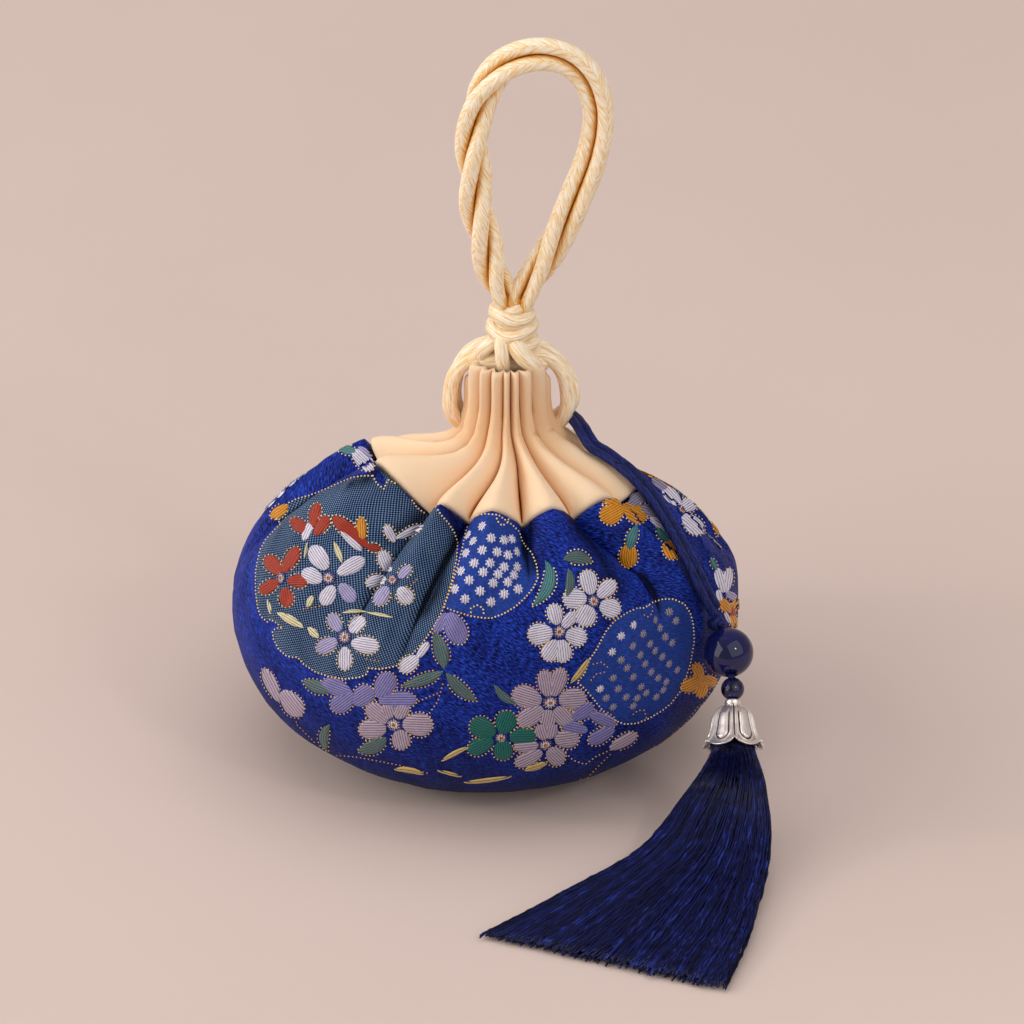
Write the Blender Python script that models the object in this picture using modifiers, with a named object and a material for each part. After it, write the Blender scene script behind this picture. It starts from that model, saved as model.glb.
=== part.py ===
"""Kinchaku: a gathered brocade pouch with a pleated collar, a knotted cord handle and a beaded tassel.

Metres, +Z up, the front of the pouch faces -Y. The origin is the middle of the flat patch it rests on.
"""

import math

import bmesh
import bpy
from mathutils import Vector

MM = 0.001

# Brocade body
BODY_HALF_WIDTH = 67.3 * MM
BODY_HALF_DEPTH = 56.0 * MM
BELLY_HEIGHT = 38.0 * MM
FOOT_HALF_WIDTH = 18.0 * MM
FOOT_HALF_DEPTH = 19.0 * MM
SEAM_HEIGHT = 88.0 * MM
SEAM_HALF_WIDTH = 37.5 * MM
SEAM_HALF_DEPTH = 35.0 * MM
SHOULDER_FULLNESS = 2.25
BOTTOM_FULLNESS = 2.1
SEAM_DIP = 12.0 * MM
BODY_RIM = (0.91, 0.6)
COLLAR_RIM = (0.895, 0.54)
BACK_SLOPE = 0.5
BACK_START = 4.0 * MM
RIGHT_SLUMP = 6.5
RIGHT_LEAD = 4.0 * MM
RIGHT_EXTRA_SLOPE = 0.08
RIGHT_SIDE_WIDTH = 20.0 * MM
SEAM_PULL = 0.32
SEAM_PULL_RISE = 4.0 * MM
SEAM_PULL_ANGLES = (68.0, 88.0, 128.0, 152.0)

# Collar and neck
NECK_SHIFT = 7.0 * MM
NECK_SHIFT_START = 45.0 * MM
NECK_RADIUS = 11.0 * MM
WAIST_HEIGHT = 97.0 * MM
COLLAR_TOP = 114.5 * MM
COLLAR_WELL_DEPTH = 6.0 * MM
COLLAR_ROLL = 1.2 * MM
SIDE_SAG = 2.5 * MM
SLIT_DEPTH = 4.5 * MM
SLIT_SQUARENESS = 1.8
SLIT_LOBES = (6, 7, 11, 12)
TOUCH_GAP = 0.3 * MM

# Gathers
COLUMNS_PER_LOBE = 6
FOLD_ROUNDNESS = 0.8
FOLD_ROUNDNESS_LOW = 0.5

# Cream cord: handle strands, draw cord strands and their knot
STRAND_RADIUS = 1.95 * MM
STRAND_GAP = 0.4 * MM
STRAND_END_SHARE = 0.86
HANDLE_START_TURN = 200.0
HANDLE_TURNS = 1.45
HANDLE_TWIST_SPAN = 1.32
DRAW_RADIUS = 1.9 * MM
KNOT_HEIGHT = 122.7 * MM
KNOT_RADII = (6.5 * MM, 6.0 * MM, 6.7 * MM)
KNOT_GROOVE = 0.7 * MM

# Tassel
TASSEL_CORD_RADIUS = 1.1 * MM
STOP_KNOT_RADIUS = 2.4 * MM
STOP_KNOT_SQUASH = 0.85
LARGE_BEAD_RADIUS = 6.4 * MM
SMALL_BEAD_RADIUS = 3.0 * MM
CORE_RADIUS = 1.0 * MM
CORE_TOP = 0.3 * MM
CORE_BEND_INSET = 1.0 * MM
BORE_CLEARANCE = 0.4 * MM
BEAD_GAP = 0.3 * MM
CAP_LENGTH = 12.8 * MM
CAP_WALL = 0.7 * MM
CAP_NECK_LENGTH = 1.3 * MM
CAP_SHOULDER_DROP = 3.6 * MM
CAP_COLLAR_RADIUS = 1.95 * MM
CAP_SHOULDER_RADIUS = 4.85 * MM
CAP_MOUTH_RADIUS = 7.5 * MM
CAP_PETALS = 6
CAP_SCALLOP = 1.6 * MM
HEAD_RADIUS = 2.9 * MM
HEAD_START = 4.2 * MM
BINDING_START = 4.7 * MM
BINDING_LENGTH = 2.4 * MM
BINDING_THICKNESS = 0.6 * MM
BEAD_INSET = 4.6 * MM
BEAD_FORWARD = 36.3 * MM
BEAD_HEIGHT = 47.3 * MM
LARGE_BEAD_CENTRE = Vector((BODY_HALF_WIDTH - BEAD_INSET, -BEAD_FORWARD, BEAD_HEIGHT))
CORD_END_OFFSET = Vector((-3.4, 7.7, 8.1)) * MM
STOP_KNOT_OFFSET = Vector((-2.84, 7.08, 4.45)) * MM
LARGE_BEAD_AXIS = Vector((0.093, -0.711, -0.696)).normalized()
CAP_TILT = math.radians(44.0)
CAP_AXIS = Vector((0.0, -math.sin(CAP_TILT), -math.cos(CAP_TILT)))

# Each crease: its angle from the front at the seam, at the neck and low on the body, in degrees; its
# depth in the brocade and in the collar, in millimetres; and how far down the shoulder it has died
# out, from 1 at the seam to 0 at the belly.
CREASES = [
    (-85.0, -47.0, -85.0, 6.5, 5.0, 0.35),
    (-38.0, -28.0, -35.0, 10.5, 7.0, 0.25),
    (-19.5, -7.0, -20.0, 7.5, 6.0, 0.10),
    (4.5, 4.8, 7.0, 7.5, 7.5, 0.55),
    (27.0, 19.3, 44.0, 7.5, 6.0, 0.18),
    (52.0, 40.6, 63.0, 5.5, 5.5, 0.12),
    (83.0, 75.0, 88.0, 6.0, 5.0, 0.40),
    (107.0, 104.8, 104.0, 7.5, 6.0, 0.20),
    (130.0, 134.5, 131.0, 6.5, 6.0, 0.45),
    (154.0, 164.3, 150.0, 8.0, 6.5, 0.15),
    (178.0, 194.0, 178.0, 7.0, 6.0, 0.40),
    (202.0, 223.8, 206.0, 8.0, 6.5, 0.20),
    (226.0, 253.5, 225.0, 6.5, 6.0, 0.45),
    (250.0, 283.3, 251.0, 7.5, 6.0, 0.15),
]
# How proud the lobe after each crease stands, in millimetres
LOBE_PUFF = [5.5, 0.5, 1.0, 1.2, 1.0, -0.5, 0.5, 1.5, 0.5, 1.5, 1.0, 0.5, 1.5, 2.8]

# Collar profile: share of the way from neck radius to seam radius, and of the rise to the waist
COLLAR_SLOPE = [(1.0, 0.0), (0.85, 0.16), (0.68, 0.33), (0.50, 0.51), (0.33, 0.69), (0.18, 0.86), (0.07, 1.1)]
# Above the waist: share of the way from neck radius to seam radius, and of the rise to the top
COLLAR_STAND = [(0.02, 0.25), (0.0, 0.45), (0.0, 0.7), (0.0, 0.92)]

# Middle line of the handle loop in the plane y = 0: x and z in millimetres, left foot to right foot
HANDLE_ROUTE = [
    (3.4, 129.4), (1.8, 136.0), (0.4, 145.0), (-1.6, 155.6), (-2.6, 166.2), (-2.8, 175.0), (-1.2, 186.0),
    (3.3, 193.6), (9.0, 197.8), (15.2, 199.2), (21.4, 197.6), (26.2, 192.8), (28.8, 185.8), (29.0, 178.8),
    (27.6, 171.5), (25.4, 165.2), (20.9, 154.6), (15.9, 143.0), (12.2, 135.0), (10.6, 129.4),
]
# Draw cord strands, from the casing at the neck's waist to the underside of the knot, in millimetres
LEFT_FRONT_ROUTE = [
    (-8.9, 0.2, 99.0), (-9.0, 0.2, 102.0), (-8.3, 0.2, 107.2), (-6.2, 0.2, 111.2), (-3.0, 0.2, 113.4),
    (0.2, 0.5, 114.3), (3.0, 0.3, 114.2), (5.0, -0.6, 113.9),
]
LEFT_BACK_ROUTE = [
    (-7.6, 4.6, 97.8), (-8.0, 4.8, 102.0), (-7.0, 5.2, 107.4), (-4.8, 5.5, 111.6), (-1.8, 5.2, 114.4),
    (1.0, 4.8, 115.6), (3.2, 4.2, 116.0),
]
RIGHT_FRONT_ROUTE = [
    (21.0, 0.0, 98.6), (21.4, 0.0, 101.6), (20.8, 0.1, 106.8), (19.0, 0.2, 111.2), (15.4, 0.5, 114.0),
    (12.0, 0.3, 114.8), (9.8, -0.6, 114.1),
]
RIGHT_BACK_ROUTE = [
    (22.8, 4.8, 98.8), (22.9, 5.0, 101.6), (21.2, 5.4, 106.2), (18.4, 5.6, 110.4), (15.2, 5.2, 113.6),
    (12.8, 4.6, 115.3), (11.2, 4.0, 116.2),
]
# Doubled tassel cord, from behind the neck over the right shoulder to the stop knot, in millimetres
TASSEL_ROUTE = [
    (20.4, 9.6, 92.8), (22.6, 4.6, 94.2), (24.8, -2.4, 94.8), (27.6, -8.6, 93.0), (31.0, -10.2, 91.3),
    (34.0, -12.2, 90.0), (36.8, -14.3, 88.6), (39.9, -16.1, 86.2), (42.7, -18.0, 83.4), (45.5, -20.1, 79.9),
    (48.1, -22.1, 76.1), (50.4, -24.5, 72.6), (52.6, -27.0, 69.2), (54.7, -28.6, 65.2), (56.6, -29.1, 61.1),
    (58.2, -28.8, 57.6), (59.3, -28.6, 55.4),
]
TASSEL_PAIR_SPREAD = 1.3 * MM

SKIRT_LYING_HEIGHT = 5.0 * MM
SKIRT_HANGING_HEIGHT = 25.0 * MM
# Tassel skirt below the cap, in millimetres: left edge, right edge and half thickness. Across and
# forward are from the large bead's centre, and up is from the ground.
SKIRT_STATIONS = [
    ((-7.3, -13.3, 18.6), (9.2, -17.9, 18.6), 5.0),
    ((-13.4, -16.9, 10.6), (10.5, -25.7, 10.6), 4.4),
    ((-23.9, -29.1, 4.9), (8.9, -40.3, 4.9), 3.4),
    ((-43.5, -44.7, 2.6), (3.9, -62.2, 2.6), 2.3),
    ((-63.7, -60.5, 1.3), (-3.2, -83.8, 1.3), 1.2),
]
# Skirt inside the cap and at its mouth: distance below the cap's top and radius, in millimetres
SKIRT_HEAD = [(4.2, 2.9), (7.4, 2.9), (9.0, 4.0), (11.0, 4.9), (13.6, 5.6)]


def srgb(code):
    """Linear colour of a six-digit sRGB code."""
    parts = [int(code[i:i + 2], 16) / 255 for i in (0, 2, 4)]
    return [c / 12.92 if c <= 0.04045 else ((c + 0.055) / 1.055) ** 2.4 for c in parts] + [1.0]


def make_material(name, code, roughness, metallic=0.0):
    material = bpy.data.materials.new(name)
    material.use_nodes = True
    shader = material.node_tree.nodes["Principled BSDF"]
    shader.inputs["Base Color"].default_value = srgb(code)
    shader.inputs["Roughness"].default_value = roughness
    shader.inputs["Metallic"].default_value = metallic
    material.diffuse_color = srgb(code)
    return material


def blend(a, b, share):
    return a + (b - a) * share


def ease(low, high, value):
    """0 below low, 1 above high, and a smooth step between them."""
    share = min(1.0, max(0.0, (value - low) / (high - low)))
    return share * share * (3 - 2 * share)


def columns():
    """Lobe number and place across the lobe for each column, closest together at the creases."""
    for lobe in range(len(CREASES)):
        for step in range(COLUMNS_PER_LOBE):
            yield lobe, (1 - math.cos(math.pi * step / COLUMNS_PER_LOBE)) / 2


def crease_angle(number, field, share):
    """Angle of a crease, share of the way from the seam (field 0) to another level's field."""
    turns, index = divmod(number, len(CREASES))
    crease = CREASES[index]
    return math.radians(360 * turns + blend(crease[0], crease[field], share))


def fold_offset(lobe, across, left_depth, right_depth, puff, roundness):
    """Height of the cloth above the smooth form: 0 on a crest, minus the depth in a crease."""
    arch = math.sin(math.pi * across)
    depth = blend(left_depth, right_depth, across)
    return puff * arch - (1 - max(arch, 0.0) ** roundness) * depth


def shoulder_shares(rise):
    """Shares of the outward and upward travel at a rise from 0 at the belly to 1 at the seam."""
    power = 2 / SHOULDER_FULLNESS
    seam_cos = (SEAM_HALF_WIDTH / BODY_HALF_WIDTH) ** (1 / power)
    seam_angle = math.acos(seam_cos)
    angle = rise * seam_angle
    out = (math.cos(angle) ** power - seam_cos ** power) / (1 - seam_cos ** power)
    up = math.sin(angle) ** power / math.sin(seam_angle) ** power
    return out, up


def neck_shift(height):
    return NECK_SHIFT * ease(NECK_SHIFT_START, SEAM_HEIGHT, height)


def body_section(rise):
    """Half width, half depth and height: rise is 1 at the seam, 0 at the belly and -1 at the foot."""
    if rise >= 0:
        out, up = shoulder_shares(rise)
        width = blend(SEAM_HALF_WIDTH, BODY_HALF_WIDTH, out)
        depth = blend(SEAM_HALF_DEPTH, BODY_HALF_DEPTH, out)
        return width, depth, blend(BELLY_HEIGHT, SEAM_HEIGHT, up)
    angle = -rise * math.pi / 2
    power = 2 / BOTTOM_FULLNESS
    out = max(math.cos(angle), 0.0) ** power
    width = blend(FOOT_HALF_WIDTH, BODY_HALF_WIDTH, out)
    depth = blend(FOOT_HALF_DEPTH, BODY_HALF_DEPTH, out)
    return width, depth, BELLY_HEIGHT * (1 - math.sin(angle) ** power)


def section_tilt(section, level, step=0.01):
    """Angle of the outward normal above the horizontal at a level of a profile."""
    width_a, _, height_a = section(max(level - step, -1.0))
    width_b, _, height_b = section(min(level + step, 1.0))
    return math.atan2(width_a - width_b, height_b - height_a)


def settle(point):
    """The filling has slumped: what lies above the belly slopes down to the back and to the right."""
    right = ease(0.0, RIGHT_SIDE_WIDTH, point.x - NECK_SHIFT - NECK_RADIUS)
    back = point.y + RIGHT_LEAD * right
    behind = (math.hypot(back, BACK_START) + back) / 2
    beside = max(point.x - NECK_SHIFT - NECK_RADIUS, 0.0)
    slope = BACK_SLOPE + RIGHT_EXTRA_SLOPE * right
    share = ease(BELLY_HEIGHT, SEAM_HEIGHT, point.z)
    return point - Vector((0, 0, (slope * behind + RIGHT_SLUMP * beside ** 2) * share))


def pull_seam(point, angle, share):
    """On the right the brocade reaches further up, so the seam there lies closer to the neck."""
    degrees = math.degrees(angle)
    start, full, fading, end = SEAM_PULL_ANGLES
    pull = SEAM_PULL * share * ease(start, full, degrees) * (1 - ease(fading, end, degrees))
    x = NECK_SHIFT + (point.x - NECK_SHIFT) * (1 - pull)
    return Vector((x, point.y * (1 - pull), point.z + SEAM_PULL_RISE * pull))


def body_point(lobe, across, rise):
    width, depth, height = body_section(rise)
    sway = 1 - ease(0.45, 1.0, rise)
    left = crease_angle(lobe, 2, sway)
    right = crease_angle(lobe + 1, 2, sway)
    angle = blend(left, right, across)
    depths = []
    for number in (lobe, lobe + 1):
        crease = CREASES[number % len(CREASES)]
        fade = max(0.0, (rise - crease[5]) / (1 - crease[5])) ** 0.8
        depths.append(crease[3] * MM * fade)
    puff = LOBE_PUFF[lobe] * MM * ease(0.0, 0.7, rise)
    roundness = blend(FOLD_ROUNDNESS_LOW, FOLD_ROUNDNESS, ease(0.2, 1.0, rise))
    offset = fold_offset(lobe, across, depths[0], depths[1], puff, roundness)
    tilt = section_tilt(body_section, rise)
    out = offset * math.cos(tilt)
    x = neck_shift(height) + (width + out) * math.sin(angle)
    y = -(depth + out) * math.cos(angle)
    point = Vector((x, y, height + offset * math.sin(tilt)))
    return settle(pull_seam(point, angle, ease(0.78, 1.0, rise)))


def collar_levels():
    """Rows of the collar: share towards the seam, height, and how far the pleats have closed up."""
    rows = []
    for out, up in COLLAR_SLOPE:
        rows.append((out, blend(SEAM_HEIGHT, WAIST_HEIGHT, up), 1 - out))
    for out, up in COLLAR_STAND:
        rows.append((out, blend(WAIST_HEIGHT, COLLAR_TOP, up), 1 - out))
    return rows


def collar_point(lobe, across, row, rows):
    out, height, closed = rows[row]
    width = blend(NECK_RADIUS, SEAM_HALF_WIDTH, out)
    depth = blend(NECK_RADIUS, SEAM_HALF_DEPTH, out)
    below = rows[max(row - 1, 0)]
    above = rows[min(row + 1, len(rows) - 1)]
    run = (below[0] - above[0]) * (SEAM_HALF_WIDTH - NECK_RADIUS)
    tilt = math.atan2(run, above[1] - below[1])
    if row == 0:
        tilt = section_tilt(body_section, 1.0)
    turned_in = ease(0.05, 1.0, closed)
    left = crease_angle(lobe, 1, turned_in)
    right = crease_angle(lobe + 1, 1, turned_in)
    angle = blend(left, right, across)
    height -= SIDE_SAG * math.sin(angle) ** 2 * ease(0.0, 0.8, closed) * ease(COLLAR_TOP, WAIST_HEIGHT, height)
    depths = []
    for number in (lobe, lobe + 1):
        crease = CREASES[number % len(CREASES)]
        shrink = blend(1.0, 0.42, ease(0.45, 1.0, closed))
        depths.append(blend(crease[3], crease[4], ease(0.0, 0.3, closed)) * MM * shrink)
    puff = LOBE_PUFF[lobe] * MM * (1 - ease(0.0, 0.8, closed))
    offset = fold_offset(lobe, across, depths[0], depths[1], puff, FOLD_ROUNDNESS)
    x = NECK_SHIFT + (width + offset * math.cos(tilt)) * math.sin(angle)
    y = -(depth + offset * math.cos(tilt)) * math.cos(angle)
    if lobe in SLIT_LOBES:
        notch = min(1.0, SLIT_SQUARENESS * math.sin(math.pi * across))
        height -= SLIT_DEPTH * notch * ease(WAIST_HEIGHT, COLLAR_TOP, height)
    point = Vector((x, y, height + offset * math.sin(tilt)))
    return settle(pull_seam(point, angle, out))


def skin(name, rings, bottom, top, material, tucked=None):
    """A closed solid through rings of equal length, with a middle point below and one above.

    The band numbered tucked is split into triangles along the diagonals that its neighbour has there.
    """
    mesh = bmesh.new()
    loops = [[mesh.verts.new(point) for point in ring] for ring in rings]
    count = len(loops[0])
    for number, (lower, upper) in enumerate(zip(loops, loops[1:])):
        for i in range(count):
            j = (i + 1) % count
            if number == tucked:
                mesh.faces.new((lower[i], lower[j], upper[i]))
                mesh.faces.new((lower[j], upper[j], upper[i]))
            elif tucked is None and number == len(loops) - 2:
                mesh.faces.new((lower[i], lower[j], upper[j]))
                mesh.faces.new((lower[i], upper[j], upper[i]))
            else:
                mesh.faces.new((lower[i], lower[j], upper[j], upper[i]))
    foot = mesh.verts.new(bottom)
    head = mesh.verts.new(top)
    for i in range(count):
        j = (i + 1) % count
        mesh.faces.new((loops[0][j], loops[0][i], foot))
        mesh.faces.new((loops[-1][i], loops[-1][j], head))
    bmesh.ops.recalc_face_normals(mesh, faces=mesh.faces)
    return finish(name, mesh, material)


def finish(name, mesh, material):
    """Turn edit geometry into a smooth-shaded object in the pouch's collection."""
    data = bpy.data.meshes.new(name)
    mesh.to_mesh(data)
    mesh.free()
    data.shade_smooth()
    data.materials.append(material)
    item = bpy.data.objects.new(name, data)
    POUCH.objects.link(item)
    return item


def seam_middle(lift):
    return Vector((NECK_SHIFT, 0.0, SEAM_HEIGHT - SEAM_DIP + lift))


def seam_rim(lift, turn, drop):
    """The turned-in edge under the seam, which the collar sits in."""
    low = SEAM_HEIGHT - SEAM_DIP
    ring = []
    for lobe, across in columns():
        edge = body_point(lobe, across, 1.0)
        flat = blend(Vector((NECK_SHIFT, 0.0, 0.0)), edge, turn)
        slope = BACK_SLOPE * max(edge.y, 0.0)
        height = blend(edge.z, min(low - slope, edge.z), drop)
        ring.append(Vector((flat.x, flat.y, height + lift)))
    return ring


def make_body(material):
    rises = [-1.0, -0.83, -0.66, -0.5, -0.33, -0.16, 0.0, 0.14, 0.27, 0.39, 0.5, 0.6, 0.69, 0.77, 0.85, 0.93, 1.0]
    rings = [[body_point(lobe, across, rise) for lobe, across in columns()] for rise in rises]
    rings.append(seam_rim(0.0, *BODY_RIM))
    return skin("pouch_body", rings, Vector((0, 0, 0)), seam_middle(0.0), material)


def make_collar(material):
    rows = collar_levels()
    lift = Vector((0, 0, TOUCH_GAP))
    rings = [seam_rim(TOUCH_GAP, *COLLAR_RIM)]
    for row in range(len(rows)):
        rings.append([collar_point(lobe, across, row, rows) + lift for lobe, across in columns()])
    middle = Vector((NECK_SHIFT, 0.0, 0.0))
    for point in rings[1]:
        inward = Vector((NECK_SHIFT - point.x, -point.y, 0.0)).normalized()
        point += inward * TOUCH_GAP
    for share, drop in ((0.95, -COLLAR_ROLL * 0.7), (0.82, -COLLAR_ROLL), (0.6, 1.5 * MM), (0.3, COLLAR_WELL_DEPTH * 0.7)):
        top = []
        for point in rings[len(rows)]:
            flat = middle + (point - middle) * share
            top.append(Vector((flat.x, flat.y, point.z - drop)))
        rings.append(top)
    well = Vector((NECK_SHIFT, 0.0, COLLAR_TOP - COLLAR_WELL_DEPTH))
    return skin("neck_collar", rings, seam_middle(TOUCH_GAP), well, material, 0)


def smooth_route(points, spacing):
    """Evenly spaced points on a smooth curve through the given ones."""
    ends = [points[0] * 2 - points[1]] + list(points) + [points[-1] * 2 - points[-2]]
    fine = []
    for i in range(1, len(ends) - 2):
        a, b, c, d = ends[i - 1:i + 3]
        for step in range(24):
            t = step / 24
            fine.append(0.5 * (2 * b + (c - a) * t + (2 * a - 5 * b + 4 * c - d) * t ** 2
                               + (3 * b - a - 3 * c + d) * t ** 3))
    fine.append(points[-1])
    total = sum((q - p).length for p, q in zip(fine, fine[1:]))
    count = max(2, round(total / spacing))
    even = [fine[0]]
    travelled = 0.0
    for p, q in zip(fine, fine[1:]):
        stretch = (q - p).length
        while len(even) < count and travelled + stretch >= len(even) * total / count:
            share = (len(even) * total / count - travelled) / stretch
            even.append(p.lerp(q, share))
        travelled += stretch
    even.append(fine[-1])
    return even


def tube(name, points, radius, material, shares=None):
    """A cord as a round bevelled curve with filled ends."""
    curve = bpy.data.curves.new(name, "CURVE")
    curve.dimensions = "3D"
    spline = curve.splines.new("POLY")
    spline.points.add(len(points) - 1)
    for i, point in enumerate(points):
        spline.points[i].co = (*point, 1.0)
        spline.points[i].radius = shares[i] if shares else 1.0
    curve.bevel_depth = radius
    curve.bevel_resolution = 2
    curve.use_fill_caps = True
    curve.materials.append(material)
    item = bpy.data.objects.new(name, curve)
    POUCH.objects.link(item)
    return item


def handle_points(number):
    """Route of one twisted handle strand, and the share of full thickness at each of its points."""
    centre = [Vector((x * MM, 0.0, z * MM)) for x, z in HANDLE_ROUTE]
    line = smooth_route(centre, STRAND_RADIUS * 3)
    last = len(line) - 1
    points = []
    shares = []
    for i, place in enumerate(line):
        along = i / last
        tangent = (line[min(i + 1, last)] - line[max(i - 1, 0)]).normalized()
        inward = Vector((0.0, 1.0, 0.0)).cross(tangent)
        share = blend(STRAND_END_SHARE, 1.0, ease(0.0, 0.14, along) * ease(0.0, 0.14, 1 - along))
        spread = (2 * STRAND_RADIUS * share + STRAND_GAP) / math.sqrt(3)
        twist = HANDLE_TURNS * math.sin(math.pi * along / HANDLE_TWIST_SPAN) + number / 3
        turn = 2 * math.pi * twist + math.radians(HANDLE_START_TURN)
        points.append(place + spread * (inward * math.cos(turn) + Vector((0, 1, 0)) * math.sin(turn)))
        shares.append(share)
    return points, shares


def make_handle(material):
    for number in range(3):
        points, shares = handle_points(number)
        tube(f"handle_strand_{number + 1}", points, STRAND_RADIUS, material, shares)


def route(table, spacing):
    return smooth_route([Vector(point) * MM for point in table], spacing)


def make_draw_cords(material):
    for name, table in (
        ("draw_cord_left_front", LEFT_FRONT_ROUTE),
        ("draw_cord_left_back", LEFT_BACK_ROUTE),
        ("draw_cord_right_front", RIGHT_FRONT_ROUTE),
        ("draw_cord_right_back", RIGHT_BACK_ROUTE),
    ):
        tube(name, route(table, DRAW_RADIUS * 2), DRAW_RADIUS, material)


def wrapped_ball(name, centre, radii, axis, groove, material, segments, rings, bands):
    """A ball of cord wraps: a sphere with tilted grooves between the bands."""
    mesh = bmesh.new()
    bmesh.ops.create_uvsphere(mesh, u_segments=segments, v_segments=rings, radius=1.0)
    turn = Vector((0, 0, 1)).rotation_difference(axis)
    for vert in mesh.verts:
        around = math.atan2(vert.co.x, -vert.co.y)
        shrink = 0.0
        for height, tilt, phase in bands:
            away = vert.co.z - height - tilt * math.sin(around + phase)
            shrink += math.exp(-(away / 0.09) ** 2)
        size = 1 - groove / radii[0] * min(shrink, 1.0)
        vert.co = centre + turn @ Vector([vert.co[i] * radii[i] * size for i in range(3)])
    return finish(name, mesh, material)


def make_knots(cream, navy):
    centre = Vector((NECK_SHIFT, 0.0, KNOT_HEIGHT))
    bands = ((0.62, 0.06, 0.4), (0.02, 0.16, 2.6), (-0.52, 0.22, 0.9))
    wrapped_ball("cord_knot", centre, KNOT_RADII, Vector((0, 0, 1)), KNOT_GROOVE, cream, 32, 20, bands)
    squashed = (STOP_KNOT_RADIUS, STOP_KNOT_RADIUS, STOP_KNOT_RADIUS * STOP_KNOT_SQUASH)
    place = LARGE_BEAD_CENTRE + STOP_KNOT_OFFSET
    wrapped_ball("tassel_stop_knot", place, squashed, -STOP_KNOT_OFFSET.normalized(), 0.2 * MM, navy, 16, 10,
                 ((0.0, 0.35, 0.0),))


def place_on_axis(item, place, axis):
    """Stand a piece built hanging from its own origin at a place, along an axis."""
    item.location = place
    item.rotation_mode = "QUATERNION"
    item.rotation_quaternion = Vector((0, 0, -1)).rotation_difference(axis)


def turned(name, profile, place, axis, steps, material):
    """A closed profile of radius and distance along the axis, turned about the axis."""
    mesh = bmesh.new()
    verts = [mesh.verts.new((radius, 0.0, -along)) for radius, along in profile]
    for a, b in zip(verts, verts[1:] + verts[:1]):
        mesh.edges.new((a, b))
    item = finish(name, mesh, material)
    screw = item.modifiers.new("Turn", "SCREW")
    screw.steps = steps
    screw.render_steps = steps
    screw.use_merge_vertices = True
    screw.merge_threshold = 0.00001
    screw.use_smooth_shade = True
    place_on_axis(item, place, axis)


def bead_profile(radius, bore, rows):
    """Outer side of a bored ball from top to bottom, closed by the bore."""
    edge = math.acos(bore / radius)
    points = []
    for row in range(rows + 1):
        angle = edge * (1 - 2 * row / rows)
        points.append((radius * math.cos(angle), -radius * math.sin(angle)))
    return points


def small_bead_centre():
    return LARGE_BEAD_CENTRE + LARGE_BEAD_AXIS * (LARGE_BEAD_RADIUS + SMALL_BEAD_RADIUS + BEAD_GAP)


def cap_top():
    """Where the cap's rim stops below the small bead, so that the rim clears the bead's round side."""
    seat = math.sqrt(SMALL_BEAD_RADIUS ** 2 - (CORE_RADIUS + BORE_CLEARANCE) ** 2)
    return small_bead_centre() + CAP_AXIS * (seat + BEAD_GAP)


def make_beads(material, dark):
    bore = CORE_RADIUS + BORE_CLEARANCE
    large = bead_profile(LARGE_BEAD_RADIUS, bore, 14)
    turned("large_bead", large, LARGE_BEAD_CENTRE, LARGE_BEAD_AXIS, 28, material)
    small = bead_profile(SMALL_BEAD_RADIUS, bore, 10)
    turned("small_bead", small, small_bead_centre(), CAP_AXIS, 20, dark)


def cap_profile():
    """Outside of the bell: radius and distance below its top."""
    neck = CAP_NECK_LENGTH
    shoulder = CAP_SHOULDER_DROP
    return [
        (CAP_COLLAR_RADIUS, 0.0),
        (CAP_COLLAR_RADIUS, neck),
        (blend(CAP_COLLAR_RADIUS, CAP_SHOULDER_RADIUS, 0.62), blend(neck, shoulder, 0.35)),
        (CAP_SHOULDER_RADIUS, shoulder),
        (blend(CAP_SHOULDER_RADIUS, CAP_MOUTH_RADIUS, 0.25), blend(shoulder, CAP_LENGTH, 0.35)),
        (blend(CAP_SHOULDER_RADIUS, CAP_MOUTH_RADIUS, 0.5), blend(shoulder, CAP_LENGTH, 0.7)),
        (CAP_MOUTH_RADIUS, CAP_LENGTH),
    ]


def axis_frame(axis):
    """Two directions square to an axis: across the pouch, and away from the floor."""
    side = Vector((1.0, 0.0, 0.0))
    up = side.cross(axis).normalized()
    return axis.cross(up).normalized(), up


def make_cap(material):
    outer = cap_profile()
    inner = []
    for radius, along in outer:
        hole = CORE_RADIUS + BORE_CLEARANCE
        inner.append((max(hole, radius - CAP_WALL), along if radius > CAP_SHOULDER_RADIUS else along + CAP_WALL * 0.6))
    inner[0] = (inner[0][0], 0.0)
    steps = CAP_PETALS * 8
    mesh = bmesh.new()
    loops = []
    for wall in (outer, inner[::-1]):
        for radius, along in wall:
            ring = []
            for i in range(steps):
                turn = 2 * math.pi * i / steps
                notch = abs(math.sin(turn * CAP_PETALS / 2)) ** 0.5
                reach = along - CAP_SCALLOP * (1 - notch) * ease(0.5, 1.0, along / CAP_LENGTH)
                ring.append(mesh.verts.new((radius * math.sin(turn), radius * math.cos(turn), -reach)))
            loops.append(ring)
    loops.append(loops[0])
    for a, b in zip(loops, loops[1:]):
        for i in range(steps):
            j = (i + 1) % steps
            mesh.faces.new((a[i], a[j], b[j], b[i]))
    bmesh.ops.recalc_face_normals(mesh, faces=mesh.faces)
    place_on_axis(finish("tassel_cap", mesh, material), cap_top(), CAP_AXIS)


def make_core(material):
    """The cord through the beads: straight in the large bead, then straight through the small one."""
    above = LARGE_BEAD_CENTRE - LARGE_BEAD_AXIS * (LARGE_BEAD_RADIUS + CORE_TOP)
    between = LARGE_BEAD_CENTRE + LARGE_BEAD_AXIS * (LARGE_BEAD_RADIUS - CORE_BEND_INSET)
    below = small_bead_centre() - CAP_AXIS * (SMALL_BEAD_RADIUS - CORE_BEND_INSET)
    end = cap_top() + CAP_AXIS * (HEAD_START - TOUCH_GAP)
    tube("tassel_core", [above, between, below, end], CORE_RADIUS, material)


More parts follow.
